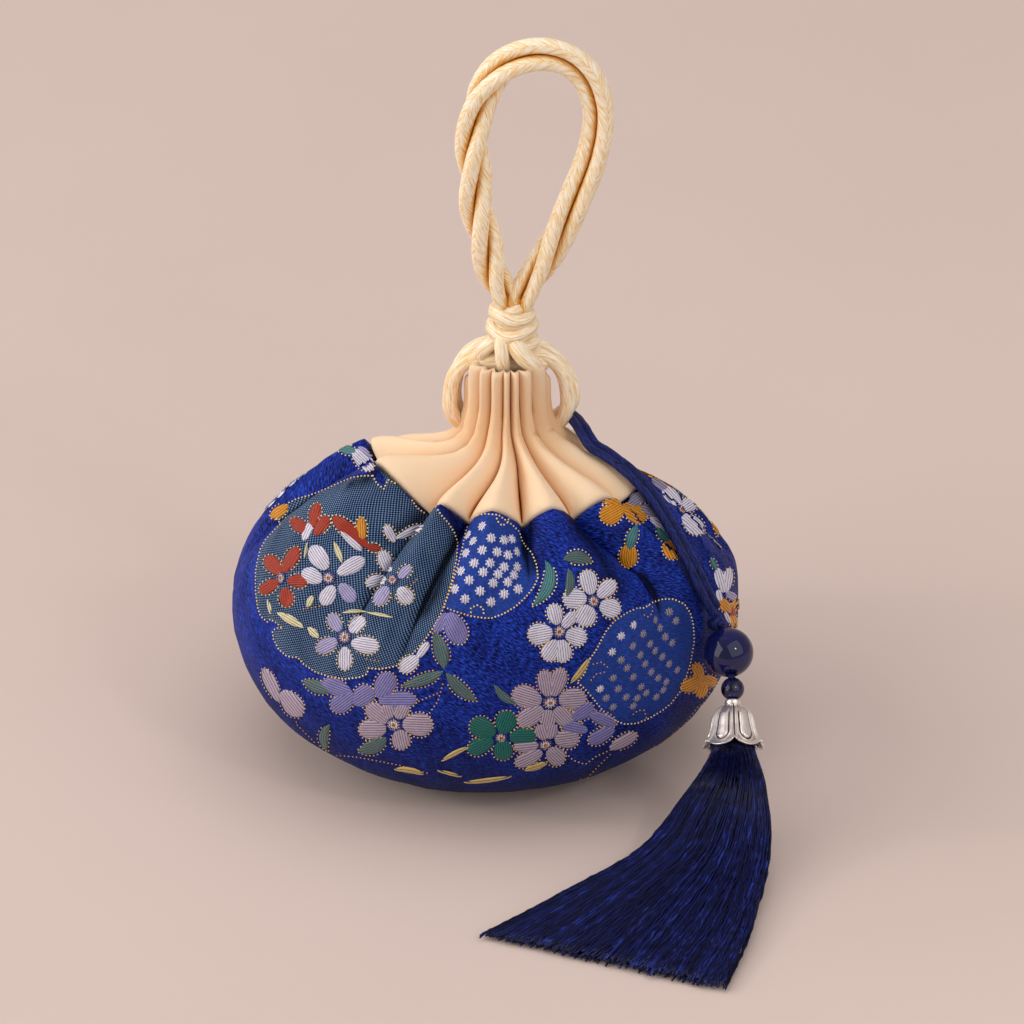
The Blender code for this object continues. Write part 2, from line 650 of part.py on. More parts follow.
def make_binding(material):
    inner = HEAD_RADIUS + TOUCH_GAP
    outer = inner + BINDING_THICKNESS
    profile = [(outer, BINDING_START), (outer, BINDING_START + BINDING_LENGTH)]
    profile += [(inner, BINDING_START + BINDING_LENGTH), (inner, BINDING_START)]
    turned("tassel_binding", profile, cap_top(), CAP_AXIS, 24, material)


def make_skirt(material):
    """Threads as one bundle: round in the cap, then fanned flat towards the cut ends."""
    steps = 24
    side, up = axis_frame(CAP_AXIS)
    rings = []
    for along, radius in SKIRT_HEAD:
        middle = cap_top() + CAP_AXIS * along * MM
        rings.append([
            middle + radius * MM * (side * math.sin(2 * math.pi * i / steps) + up * math.cos(2 * math.pi * i / steps))
            for i in range(steps)
        ])
    hang = Vector((LARGE_BEAD_CENTRE.x, LARGE_BEAD_CENTRE.y, 0.0))
    for left, right, half in SKIRT_STATIONS:
        a = hang + Vector(left) * MM
        b = hang + Vector(right) * MM
        middle = (a + b) / 2
        reach = (b - a) / 2
        lean = 1 - ease(SKIRT_LYING_HEIGHT, SKIRT_HANGING_HEIGHT, middle.z)
        rise = (up.lerp(Vector((0, 0, 1)), lean)).normalized() * half * MM
        ring = []
        for i in range(steps):
            turn = 2 * math.pi * i / steps
            ring.append(middle + reach * math.sin(turn) + rise * math.cos(turn))
        rings.append(ring)
    last = rings[-1]
    top = sum(last, Vector()) / len(last)
    bottom = cap_top() + CAP_AXIS * SKIRT_HEAD[0][0] * MM
    return skin("tassel_skirt", rings, bottom, top, material)


def make_tassel_cords(material):
    line = route(TASSEL_ROUTE, TASSEL_CORD_RADIUS * 5)
    pull = LARGE_BEAD_CENTRE + CORD_END_OFFSET - line[-1]
    line = [place + pull * i / (len(line) - 1) for i, place in enumerate(line)]
    for number, sign in ((1, -1), (2, 1)):
        points = []
        for i, place in enumerate(line):
            ahead = line[min(i + 1, len(line) - 1)]
            behind = line[max(i - 1, 0)]
            outward = Vector((place.x - NECK_SHIFT, place.y, 0.4 * place.z)).normalized()
            across = (ahead - behind).normalized().cross(outward).normalized()
            points.append(place + across * sign * TASSEL_PAIR_SPREAD)
        tube(f"tassel_cord_{number}", points, TASSEL_CORD_RADIUS, material)


for old in list(bpy.data.objects):
    bpy.data.objects.remove(old, do_unlink=True)
POUCH = bpy.data.collections.new("Kinchaku pouch")
bpy.context.scene.collection.children.link(POUCH)


def main():
    brocade = make_material("Brocade", "1A2F8F", 0.5)
    collar = make_material("Collar cloth", "F0D2AE", 0.7)
    satin = make_material("Satin cord", "F3D9A0", 0.4)
    navy = make_material("Navy cord", "1B2560", 0.6)
    glass = make_material("Navy bead", "1A1A4E", 0.1)
    dark = make_material("Dark bead", "12122E", 0.12)
    silver = make_material("Antique silver", "C8C8CC", 0.25, 1.0)
    silk = make_material("Tassel silk", "1B2560", 0.45)
    make_body(brocade)
    make_collar(collar)
    make_handle(satin)
    make_draw_cords(satin)
    make_knots(satin, navy)
    make_tassel_cords(navy)
    make_beads(glass, dark)
    make_cap(silver)
    make_core(navy)
    make_binding(navy)
    make_skirt(silk)


main()
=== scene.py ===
# %% [markdown]
# # A kinchaku: a gathered brocade pouch
# This lesson dresses a small drawstring pouch. A filled brocade bag is gathered into a pleated cream
# collar, a satin cord is knotted above it into a carrying loop, and a thin navy cord ends in beads, a
# silver petal cap and a silk tassel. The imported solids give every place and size, and each piece here
# is built around them, in metres, with the front of the pouch towards -Y.

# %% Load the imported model
import math
import random

import bmesh
import bpy
import numpy as np
from mathutils import Matrix, Vector, noise
from mathutils.bvhtree import BVHTree
from mathutils.kdtree import KDTree


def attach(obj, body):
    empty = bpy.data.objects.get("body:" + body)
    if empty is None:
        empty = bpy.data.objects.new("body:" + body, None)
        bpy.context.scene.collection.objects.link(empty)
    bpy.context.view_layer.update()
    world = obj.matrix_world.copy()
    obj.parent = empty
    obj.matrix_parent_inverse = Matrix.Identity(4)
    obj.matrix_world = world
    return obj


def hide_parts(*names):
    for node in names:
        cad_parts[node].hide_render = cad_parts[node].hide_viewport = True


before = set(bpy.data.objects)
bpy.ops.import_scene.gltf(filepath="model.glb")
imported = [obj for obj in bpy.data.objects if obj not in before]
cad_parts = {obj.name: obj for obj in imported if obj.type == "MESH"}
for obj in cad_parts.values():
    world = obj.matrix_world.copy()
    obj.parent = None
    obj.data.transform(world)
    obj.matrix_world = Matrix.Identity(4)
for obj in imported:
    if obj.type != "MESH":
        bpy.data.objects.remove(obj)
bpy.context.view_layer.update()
MM = 0.001
print("solids loaded:", len(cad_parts))

# %% [markdown]
# ## The camera
# The photograph was taken from well away with a long lens, looking down by about 30 degrees, so
# upright lines hardly lean together. The camera is set from those three facts: how high it looks
# from, how far away it stands, and how many millimetres fit across the picture.

# %% Camera
CAMERA_RISE = math.radians(30.0)
CAMERA_DISTANCE = 1.2
CAMERA_AIM = Vector((7.0, 0.0, 68.0)) * MM
PICTURE_WIDTH = 268.0 * MM
SENSOR_MM = 36.0
PIXELS = 1024

sight_ahead = Vector((0.0, math.cos(CAMERA_RISE), -math.sin(CAMERA_RISE)))
sight_up = Vector((0.0, math.sin(CAMERA_RISE), math.cos(CAMERA_RISE)))
sight_right = Vector((1.0, 0.0, 0.0))
camera_place = CAMERA_AIM - sight_ahead * CAMERA_DISTANCE

camera_data = bpy.data.cameras.new("photo_camera")
camera_data.sensor_width = SENSOR_MM
camera_data.lens = SENSOR_MM * CAMERA_DISTANCE / PICTURE_WIDTH
camera_data.clip_start = 0.05
camera = bpy.data.objects.new("photo_camera", camera_data)
bpy.context.scene.collection.objects.link(camera)
camera.matrix_world = Matrix((
    (sight_right.x, sight_up.x, -sight_ahead.x, camera_place.x),
    (sight_right.y, sight_up.y, -sight_ahead.y, camera_place.y),
    (sight_right.z, sight_up.z, -sight_ahead.z, camera_place.z),
    (0.0, 0.0, 0.0, 1.0),
))
bpy.context.scene.camera = camera
print("lens", round(camera_data.lens, 1), "mm")


def sight_line(across, down):
    """Direction from the camera through a point of the picture, in pixels from its top left."""
    scale = PICTURE_WIDTH / CAMERA_DISTANCE / PIXELS
    right = (across - PIXELS / 2) * scale
    up = (PIXELS / 2 - down) * scale
    return (sight_ahead + sight_right * right + sight_up * up).normalized()


# %% [markdown]
# ## Small helpers
# Colours are chosen as sRGB codes, as on a swatch card, and shaders work with linear light, so one
# function does the change. Another adds a shader node with its settings and its links in one line.

# %% Colour, material and mesh helpers
def linear(code):
    """Linear colour of a six-digit sRGB code."""
    parts = [int(code[i:i + 2], 16) / 255 for i in (0, 2, 4)]
    return tuple(c / 12.92 if c <= 0.04045 else ((c + 0.055) / 1.055) ** 2.4 for c in parts) + (1.0,)


def new_material(name, roughness=0.5, **sockets):
    material = bpy.data.materials.new(name)
    material.use_nodes = True
    shader = material.node_tree.nodes["Principled BSDF"]
    shader.inputs["Roughness"].default_value = roughness
    for socket, value in sockets.items():
        shader.inputs[socket.replace("_", " ")].default_value = value
    return material, material.node_tree, shader


def add_node(tree, kind, inputs=None, **settings):
    """A shader node with its settings made and its inputs linked or filled in."""
    node = tree.nodes.new("ShaderNode" + kind)
    for name, value in settings.items():
        setattr(node, name, value)
    for socket, value in (inputs or {}).items():
        if isinstance(value, bpy.types.NodeSocket):
            tree.links.new(value, node.inputs[socket])
        else:
            node.inputs[socket].default_value = value
    return node


def colour_steps(tree, factor, steps):
    """Colour ramp output through (place, sRGB code) steps."""
    ramp = add_node(tree, "ValToRGB", {0: factor})
    for _ in range(len(steps) - 2):
        ramp.color_ramp.elements.new(0.5)
    for element, (place, code) in zip(ramp.color_ramp.elements, steps):
        element.position = place
        element.color = linear(code)
    return ramp.outputs[0]


def math_node(tree, operation, *values):
    return add_node(tree, "Math", dict(enumerate(values)), operation=operation).outputs[0]


def blend_colour(tree, factor, first, second):
    return add_node(tree, "Mix", {0: factor, 6: first, 7: second}, data_type="RGBA").outputs[2]


def attribute(tree, name, output="Fac"):
    """A value that every point of the mesh carries."""
    return add_node(tree, "Attribute", attribute_name=name).outputs[output]


def cloth_map(tree):
    """Places on the cloth in millimetres, as the piece's UV map gives them."""
    return add_node(tree, "UVMap", uv_map="Cloth").outputs[0]


def cloudy(tree, scale, detail, place=None):
    """Soft noise through the piece's own space, or through another place where one is given."""
    if place is None:
        place = add_node(tree, "TexCoord").outputs["Object"]
    return add_node(tree, "TexNoise", {"Vector": place, "Scale": scale, "Detail": detail}).outputs[0]


def map_range(tree, value, low, high, **ends):
    """A value from low to high as one from 0 to 1, or to the ends to_min and to_max."""
    inputs = {"Value": value, "From Min": low, "From Max": high}
    inputs.update({name.replace("_", " ").title(): end for name, end in ends.items()})
    return add_node(tree, "MapRange", inputs).outputs[0]


def paint(tree, shader, colour):
    tree.links.new(colour, shader.inputs["Base Color"])


def streak(tree, place, across_mm, along_mm, turn_degrees, detail):
    """Long thin marks in the weave or the floss, which run at an angle to the first UV axis."""
    turned = add_node(tree, "Mapping", {"Vector": place, "Rotation": (0, 0, math.radians(turn_degrees)),
                                        "Scale": (along_mm, across_mm, 1.0)}, vector_type="TEXTURE")
    return cloudy(tree, 1.0, detail, turned.outputs[0])


def add_bump(tree, shader, height, depth_mm):
    """Surface relief of a given depth, from a height between 0 and 1."""
    bump = add_node(tree, "Bump", {"Height": height, "Distance": depth_mm * MM, "Strength": 1.0})
    tree.links.new(bump.outputs[0], shader.inputs["Normal"])


def dress(name, mesh, material, replaces=()):
    """Turn a mesh into a finished piece that rides with the pouch."""
    mesh.shade_smooth()
    mesh.materials.clear()
    mesh.materials.append(material)
    piece = bpy.data.objects.new(name, mesh)
    bpy.context.scene.collection.objects.link(piece)
    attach(piece, "pouch")
    if replaces:
        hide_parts(*replaces)
    return piece


def mesh_from(name, verts, faces, uvs=None):
    """Mesh from points and faces, with one UV pair for each vertex where given."""
    mesh = bpy.data.meshes.new(name)
    mesh.from_pydata([tuple(v) for v in verts], [], faces)
    if uvs is not None:
        layer = mesh.uv_layers.new(name="Cloth")
        order = np.zeros(len(mesh.loops), dtype=np.int32)
        mesh.loops.foreach_get("vertex_index", order)
        layer.data.foreach_set("uv", np.asarray(uvs, dtype=np.float32)[order].ravel())
    return mesh


def ring_faces(rings, sides, start=0, closed=False):
    """Quads between rings of points, each ring joined to itself all round."""
    ends = [(i, (i + 1) % rings) for i in range(rings if closed else rings - 1)]
    return [(start + i * sides + k, start + i * sides + (k + 1) % sides, start + j * sides + (k + 1) % sides,
             start + j * sides + k) for i, j in ends for k in range(sides)]


def end_faces(rings, sides, start=0):
    """The two faces that close a row of rings."""
    last = start + (rings - 1) * sides
    return [tuple(range(start, start + sides))[::-1], tuple(range(last, last + sides))]


def add_attribute(mesh, name, values):
    mesh.attributes.new(name, "FLOAT", "POINT").data.foreach_set("value", np.asarray(values, dtype=np.float32))


def ease(low, high, value):
    share = min(1.0, max(0.0, (value - low) / (high - low)))
    return share * share * (3 - 2 * share)


print("helpers ready")

# %% [markdown]
# ## Cords
# A satin cord is braided from many fine filaments, so its surface is a herringbone of small plump
# stitches that catch the light. Each cord is a tube swept along its route. The tube's own skin is
# pushed in between the stitches, and a UV map in millimetres carries the filaments in the material.

# %% Routes and tubes
CURVE_PARTS = 24


def smooth_route(points, spacing):
    """Evenly spaced points on a smooth curve through the given ones."""
    points = [Vector(p) for p in points]
    ends = [points[0] * 2 - points[1]] + points + [points[-1] * 2 - points[-2]]
    fine = []
    for i in range(1, len(ends) - 2):
        a, b, c, d = ends[i - 1:i + 3]
        for step in range(CURVE_PARTS):
            t = step / CURVE_PARTS
            fine.append(0.5 * (2 * b + (c - a) * t + (2 * a - 5 * b + 4 * c - d) * t ** 2
                               + (3 * b - a - 3 * c + d) * t ** 3))
    fine.append(points[-1])
    places = np.array([tuple(p) for p in fine])
    along = np.concatenate([[0.0], np.cumsum(np.linalg.norm(np.diff(places, axis=0), axis=1))])
    count = max(2, round(along[-1] / spacing))
    marks = np.linspace(0.0, along[-1], count + 1)
    return [Vector([np.interp(m, along, places[:, k]) for k in range(3)]) for m in marks]


def route_length(points):
    return sum((b - a).length for a, b in zip(points, points[1:]))


def sweep(name, route, radius, relief, around=24, closed=False, shares=None):
    """Mesh tube along a route. relief(turn, along) gives the share of the radius at each point."""
    count = len(route)
    verts, uvs, faces = [], [], []
    tangent = (route[1] - route[0]).normalized()
    side = tangent.orthogonal().normalized()
    travelled = 0.0
    for i, place in enumerate(route):
        ahead = route[(i + 1) % count] if closed else route[min(i + 1, count - 1)]
        behind = route[i - 1] if closed else route[max(i - 1, 0)]
        new_tangent = (ahead - behind).normalized()
        side = tangent.rotation_difference(new_tangent) @ side
        side = (side - new_tangent * side.dot(new_tangent)).normalized()
        tangent = new_tangent
        up = tangent.cross(side)
        if i:
            travelled += (place - route[i - 1]).length
        share = shares[i] if shares else 1.0
        for k in range(around + 1):
            turn = 2 * math.pi * k / around
            size = radius * share * relief(turn, travelled)
            verts.append(place + (side * math.cos(turn) + up * math.sin(turn)) * size)
            uvs.append((turn * radius / MM, travelled / MM))
    row = around + 1
    for i in range(count if closed else count - 1):
        j = (i + 1) % count
        for k in range(around):
            faces.append((i * row + k, i * row + k + 1, j * row + k + 1, j * row + k))
    if not closed:
        faces.append(tuple(range(around - 1, -1, -1)))
        faces.append(tuple((count - 1) * row + k for k in range(around)))
    return mesh_from(name, verts, faces, uvs)


def braid_relief(pitch, columns, depth):
    """Herringbone stitches: the slant of the grooves changes side from column to column."""
    def relief(turn, along):
        column = turn * columns / (2 * math.pi)
        part = column - math.floor(column)
        slant = (part - 0.5) * (1 if int(math.floor(column)) % 2 else -1)
        stitch = abs(math.sin(math.pi * (along / pitch + slant * 0.9)))
        ridge = 1 - (2 * part - 1) ** 4
        return 1 - depth * (1 - min(1.0, stitch ** 0.6) * (0.55 + 0.45 * ridge))
    return relief


def ply_relief(pitch, plies, depth):
    """Twisted plies, which wind round the cord like a candy cane."""
    def relief(turn, along):
        return 1 - depth * (1 - abs(math.cos((plies * turn - 2 * math.pi * along / pitch) / 2)) ** 0.7)
    return relief


# %% [markdown]
# ### Satin and navy cord finishes
# Satin is rayon: its filaments lie side by side and are shiny along one direction, cream on the open
# cord. The grooves where cords press together are painted golden and darker, as painted shade. Fine lines
# along the stitches are drawn in the material, because single filaments are thinner than the picture can show.

# %% Cord materials
def cord_material(name, codes, roughness, gloss, columns, radius_mm, lean, thread_mm):
    """Filaments that lean one way and then the other, from one column of the braid to the next."""
    material, tree, shader = new_material(name, roughness, Specular_IOR_Level=gloss)
    place = cloth_map(tree)
    parts = add_node(tree, "SeparateXYZ", {0: place})
    turn = math_node(tree, "DIVIDE", parts.outputs[0], 2 * math.pi * radius_mm / columns)
    parity = math_node(tree, "GREATER_THAN", math_node(tree, "MODULO", turn, 2.0), 1.0)
    tones = []
    for across, along in ((thread_mm, 3.4), (3 * thread_mm, 5.0)):
        one_way = streak(tree, place, across, along, 90 + lean, 2.0)
        other_way = streak(tree, place, across, along, 90 - lean, 2.0)
        tones.append(blend_colour(tree, parity, one_way, other_way))
    border = math_node(tree, "MULTIPLY_ADD", math_node(tree, "FRACT", turn), 2.0, -1.0)
    border = math_node(tree, "POWER", math_node(tree, "ABSOLUTE", border), 8.0)
    tone = math_node(tree, "MULTIPLY_ADD", tones[1], 0.35, math_node(tree, "MULTIPLY", tones[0], 0.75))
    tone = math_node(tree, "MULTIPLY_ADD", border, -0.07, tone)
    # Painted shade: points deep in a groove between cords are darkened towards golden brown.
    tone = math_node(tree, "MULTIPLY_ADD", attribute(tree, "Deep"), -0.4, tone)
    paint(tree, shader, colour_steps(tree, tone, list(zip((0.2, 0.40, 0.51, 0.61), codes))))
    add_bump(tree, shader, tones[0], 0.22)
    return material


def nearness(mesh, others, radius, reach):
    """How deep each point lies in the groove between cords, for painted shade: 1 where they touch, 0 beyond the
    reach.
    """
    places = [place for route in others for place in route]
    tree = KDTree(len(places))
    for number, place in enumerate(places):
        tree.insert(place, number)
    tree.balance()
    gaps = np.array([tree.find(vertex.co)[2] for vertex in mesh.vertices]) - radius
    add_attribute(mesh, "Deep", np.clip(1 - gaps / reach, 0.0, 1.0) ** 1.5)


STRAND_PITCH_MM = 2.4
SATIN_CODES = ("D98E2B", "EDC27C", "F8DFB0", "FFF8EA")
satin_cord = cord_material("braided_rayon_satin", SATIN_CODES, 0.34, 0.4, 4, 1.95, 30.0, 0.24)
satin_floss = cord_material("rayon_floss", SATIN_CODES, 0.3, 0.4, 1, 1.95, 7.0, 0.3)
navy_cord = cord_material("navy_braided_cord", ("02030F", "070B2A", "10174A", "223078"), 0.5, 0.2, 4, 1.1, 24.0, 0.2)
print("cord finishes made")

# %% [markdown]
# ### The carrying loop
# Three strands wind loosely round each other from one side of the knot, over the top and back. They
# twist quickly up the left leg and slowly over the top, and at the right the twist turns back, as
# happens when a loop is held by hand while its ends are tied.

# %% Handle strands
STRAND_RADIUS = 1.95 * MM
STRAND_GAP = 0.4 * MM
STRAND_END_SHARE = 0.86
HANDLE_START_TURN = 200.0
HANDLE_TURNS = 1.45
HANDLE_TWIST_SPAN = 1.32
STRAND_SWELL = 1.07
STRAND_TAPER = 0.14
HANDLE_ROUTE = [
    (6.6, 126.8), (6.0, 129.6), (4.9, 132.0), (2.6, 137.0), (0.6, 145.0), (-1.6, 155.6), (-2.6, 166.2),
    (-2.8, 175.0), (-1.2, 186.0), (3.3, 193.6), (9.0, 197.8), (15.2, 199.2), (21.4, 197.6), (26.2, 192.8),
    (28.8, 185.8), (29.0, 178.8),
    (27.6, 171.5), (25.4, 165.2), (20.9, 154.6), (15.9, 143.0),
    (12.9, 137.2), (9.9, 132.0), (8.7, 129.6), (8.0, 126.8),
]
RING_STEP = 0.4 * MM

loop_line = smooth_route([Vector((x, 0.0, z)) * MM for x, z in HANDLE_ROUTE], RING_STEP)
loop_routes, loop_shares = [], []
for number in range(3):
    route, shares = [], []
    last = len(loop_line) - 1
    for i, place in enumerate(loop_line):
        along = i / last
        tangent = (loop_line[min(i + 1, last)] - loop_line[max(i - 1, 0)]).normalized()
        inward = Vector((0.0, 1.0, 0.0)).cross(tangent)
        ends = ease(0.0, STRAND_TAPER, along) * ease(0.0, STRAND_TAPER, 1 - along)
        share = STRAND_END_SHARE + (1 - STRAND_END_SHARE) * ends
        spread = (2 * STRAND_RADIUS * share + STRAND_GAP) / math.sqrt(3)
        twist = HANDLE_TURNS * math.sin(math.pi * along / HANDLE_TWIST_SPAN) + number / 3
        turn = 2 * math.pi * twist + math.radians(HANDLE_START_TURN)
        route.append(place + spread * (inward * math.cos(turn) + Vector((0, 1, 0)) * math.sin(turn)))
        shares.append(share * STRAND_SWELL)
    loop_routes.append(route)
    loop_shares.append(shares)
for number, route in enumerate(loop_routes):
    mesh = sweep(f"loop_strand_{number + 1}", route, STRAND_RADIUS, braid_relief(STRAND_PITCH_MM * MM, 4, 0.035),
                 shares=loop_shares[number])
    nearness(mesh, [other for other in loop_routes if other is not route], STRAND_RADIUS, 2.0 * MM)
    strand = dress(mesh.name, mesh, satin_cord, replaces=(f"handle_strand_{number + 1}",))
    print(strand.name, "length", round(route_length(route) / MM), "mm")

# %% [markdown]
# ### The draw cords
# The same cord runs through the casing at the neck. Two strands come out on each side, pass over the
# collar's top edge, meet under the knot and go up into its heart.

# %% Draw cord strands
DRAW_RADIUS = 1.9 * MM
DRAW_ROUTES = {
    "draw_cord_left_front": [
        (-4.6, 2.0, 92.6), (-7.6, 0.9, 95.4), (-8.9, 0.2, 99.0), (-9.0, 0.2, 102.0),
        (-8.3, 0.2, 107.2), (-6.2, 0.2, 111.2), (-3.0, 0.2, 113.4),
        (0.2, 0.5, 114.3), (3.0, 0.3, 114.2), (5.0, -0.6, 114.9), (6.1, -0.8, 118.0), (6.2, -0.6, 122.6)],
    "draw_cord_left_back": [
        (-4.2, 5.4, 92.4), (-6.6, 4.9, 95.0), (-7.6, 4.6, 97.8), (-8.0, 4.8, 102.0),
        (-7.0, 5.2, 107.4), (-4.8, 5.5, 111.6), (-1.8, 5.2, 114.4),
        (1.0, 4.8, 115.6), (3.2, 4.2, 116.6), (5.0, 3.0, 119.8), (5.6, 2.2, 124.4)],
    "draw_cord_right_front": [
        (17.4, 1.6, 92.8), (20.0, 0.6, 95.6), (21.0, 0.0, 98.6), (21.4, 0.0, 101.6),
        (20.8, 0.1, 106.8), (19.0, 0.2, 111.2), (15.4, 0.5, 114.0),
        (12.0, 0.3, 114.8), (9.8, -0.6, 115.0), (8.3, -0.8, 118.0), (7.9, -0.6, 122.8)],
    "draw_cord_right_back": [
        (18.0, 5.4, 93.2), (21.2, 5.0, 96.0), (22.6, 4.8, 98.8), (22.7, 5.0, 101.6),
        (21.2, 5.4, 106.2), (18.4, 5.6, 110.4), (15.2, 5.2, 113.6),
        (12.8, 4.6, 115.3), (11.0, 4.0, 116.9), (9.4, 3.0, 120.0), (8.6, 2.2, 124.6)],
}
draw_lines = {name: smooth_route([Vector(p) * MM for p in table], RING_STEP)
              for name, table in DRAW_ROUTES.items()}
for name, route in draw_lines.items():
    mesh = sweep(f"satin_{name}", route, DRAW_RADIUS * 1.04, ply_relief(26 * MM, 6, 0.06))
    nearness(mesh, [other for other in draw_lines.values() if other is not route], DRAW_RADIUS, 1.2 * MM)
    strand = dress(mesh.name, mesh, satin_floss, replaces=(name,))
    print(strand.name, "length", round(route_length(route) / MM), "mm")

# %% [markdown]
# ### The tassel's doubled cord
# A thin navy cord comes from behind the neck and lies double over the right shoulder, down to a
# small stop knot above the beads. It is limp, so it follows the cloth under it.

# %% Tassel cords
TASSEL_CORD_RADIUS = 1.1 * MM
TASSEL_PAIR_SPREAD = 1.3 * MM
NECK_SHIFT = 7.0 * MM
TASSEL_ROUTE = [
    (20.4, 9.6, 92.8), (22.6, 4.6, 94.2), (24.8, -2.4, 94.8), (27.6, -8.6, 93.0), (31.0, -10.2, 91.3),
    (34.0, -12.2, 90.0), (36.8, -14.3, 88.6), (39.9, -16.1, 86.2), (42.7, -18.0, 83.4), (45.5, -20.1, 79.9),
    (48.1, -22.1, 76.1), (50.4, -24.5, 72.6), (52.6, -27.0, 69.2), (54.7, -28.6, 65.2), (56.6, -29.1, 61.1),
    (58.2, -28.8, 57.6), (59.3, -28.6, 55.4),
]
cord_line = smooth_route([Vector(p) * MM for p in TASSEL_ROUTE], RING_STEP)
for number, sign in ((1, -1), (2, 1)):
    route = []
    for i, place in enumerate(cord_line):
        ahead = cord_line[min(i + 1, len(cord_line) - 1)]
        behind = cord_line[max(i - 1, 0)]
        outward = Vector((place.x - NECK_SHIFT, place.y, 0.4 * place.z)).normalized()
        across = (ahead - behind).normalized().cross(outward).normalized()
        route.append(place + across * sign * TASSEL_PAIR_SPREAD)
    strand = dress(f"navy_cord_{number}", sweep(f"navy_cord_{number}", route, TASSEL_CORD_RADIUS * 1.08,
                                                ply_relief(5.4 * MM, 3, 0.09), around=18),
                   navy_cord, replaces=(f"tassel_cord_{number}",))
    print(strand.name, "length", round(route_length(route) / MM), "mm")

# %% [markdown]
# ## The brocade bag
# The bag is filled with wadding, so its cloth is stretched over a full round belly and falls into
# deep rounded gathers where the collar draws it in. The solid already has those gathers. Its mesh is
# merged and made finer here, with the valleys kept sharp and the hem kept crisp, and then the filling
# gets its soft lumps and the cloth its small pulls towards the seam.

# %% Finer cloth from a solid
BELLY_HEIGHT = 38.0 * MM
HEM_BEND = 0.8
VALLEY_BEND = -0.3
AROUND_MM = 58.0
UPWARD_MM = 54.0
BELLY_WIDTH_SHARE = 1.12
BELLY_DEPTH_SHARE = 0.94
SHIFT_FROM = 45.0
SHIFT_TO = 88.0
LARGE_LUMP = 17.0 * MM
SMALL_LUMP = 8.0 * MM


def finer_cloth(node, levels, valley, hem, open_at=None):
    """A solid's mesh as smooth cloth: valley and hem are how sharp those edges stay, from 0 to 1."""
    cloth = bmesh.new()
    cloth.from_mesh(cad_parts[node].data)
    bmesh.ops.remove_doubles(cloth, verts=cloth.verts, dist=0.002 * MM)
    if open_at is not None:
        middle = min(cloth.verts, key=lambda v: (v.co - open_at).length)
        bmesh.ops.delete(cloth, geom=[middle], context="VERTS")
    bmesh.ops.join_triangles(cloth, faces=cloth.faces, angle_face_threshold=1.0, angle_shape_threshold=2.4)
    sharp = cloth.edges.layers.float.new("crease_edge")
    for edge in cloth.edges:
        bend = edge.calc_face_angle_signed(0.0) if len(edge.link_faces) == 2 else 0.0
        if bend > HEM_BEND:
            edge[sharp] = hem
        elif bend < VALLEY_BEND:
            edge[sharp] = valley
    coarse = bpy.data.meshes.new(node + "_cloth")
    cloth.to_mesh(coarse)
    cloth.free()
    stand = bpy.data.objects.new("stand", coarse)
    bpy.context.scene.collection.objects.link(stand)
    smoother = stand.modifiers.new("finer", "SUBSURF")
    smoother.levels = smoother.render_levels = levels
    fine = bpy.data.meshes.new_from_object(stand.evaluated_get(bpy.context.evaluated_depsgraph_get()))
    bpy.data.objects.remove(stand)
    return fine


def neck_shift(z):
    share = np.clip((z / MM - SHIFT_FROM) / (SHIFT_TO - SHIFT_FROM), 0.0, 1.0)
    return NECK_SHIFT * share * share * (3 - 2 * share)


def cloth_place(points):
    """Millimetres round the belly and up from it, as if the cloth were peeled off and laid flat."""
    points = np.asarray(points, dtype=float).reshape(-1, 3)
    x = points[:, 0] - neck_shift(points[:, 2])
    around = np.arctan2(x, -points[:, 1])
    reach = np.hypot(x / BELLY_WIDTH_SHARE, points[:, 1] / BELLY_DEPTH_SHARE)
    return np.stack([around * AROUND_MM, UPWARD_MM * np.arctan2(points[:, 2] - BELLY_HEIGHT, reach)], axis=1)


def vertex_points(mesh):
    points = np.zeros(len(mesh.vertices) * 3)
    mesh.vertices.foreach_get("co", points)
    return points.reshape(-1, 3)


def vertex_normals(mesh):
    normals = np.zeros(len(mesh.vertices) * 3)
    mesh.vertex_normals.foreach_get("vector", normals)
    return normals.reshape(-1, 3)


def cloth_uvs(mesh):
    """UV map in millimetres, with the join at the back kept whole."""
    flat = cloth_place(vertex_points(mesh))
    order = np.zeros(len(mesh.loops), dtype=np.int32)
    mesh.loops.foreach_get("vertex_index", order)
    uvs = flat[order]
    for face in mesh.polygons:
        part = uvs[face.loop_start:face.loop_start + face.loop_total]
        if part[:, 0].max() - part[:, 0].min() > AROUND_MM * math.pi:
            part[part[:, 0] < 0, 0] += 2 * math.pi * AROUND_MM
    layer = mesh.uv_layers.new(name="Cloth")
    layer.data.foreach_set("uv", uvs.astype(np.float32).ravel())


def fold_depth(mesh, rounds):
    """How far each point lies in a valley: 0 on open cloth, towards 1 in the tightest folds."""
    points = vertex_points(mesh)
    normals = vertex_normals(mesh)
    pairs = np.zeros(len(mesh.edges) * 2, dtype=np.int32)
    mesh.edges.foreach_get("vertices", pairs)
    pairs = pairs.reshape(-1, 2)
    degree = np.bincount(pairs.ravel(), minlength=len(points)).astype(float)
    smooth = points.copy()
    for _ in range(rounds * 3):
        total = np.zeros_like(points)
        np.add.at(total, pairs[:, 0], smooth[pairs[:, 1]])
        np.add.at(total, pairs[:, 1], smooth[pairs[:, 0]])
        smooth = total / degree[:, None]
    return np.clip(((smooth - points) * normals).sum(axis=1) / MM, -1.5, 1.5)


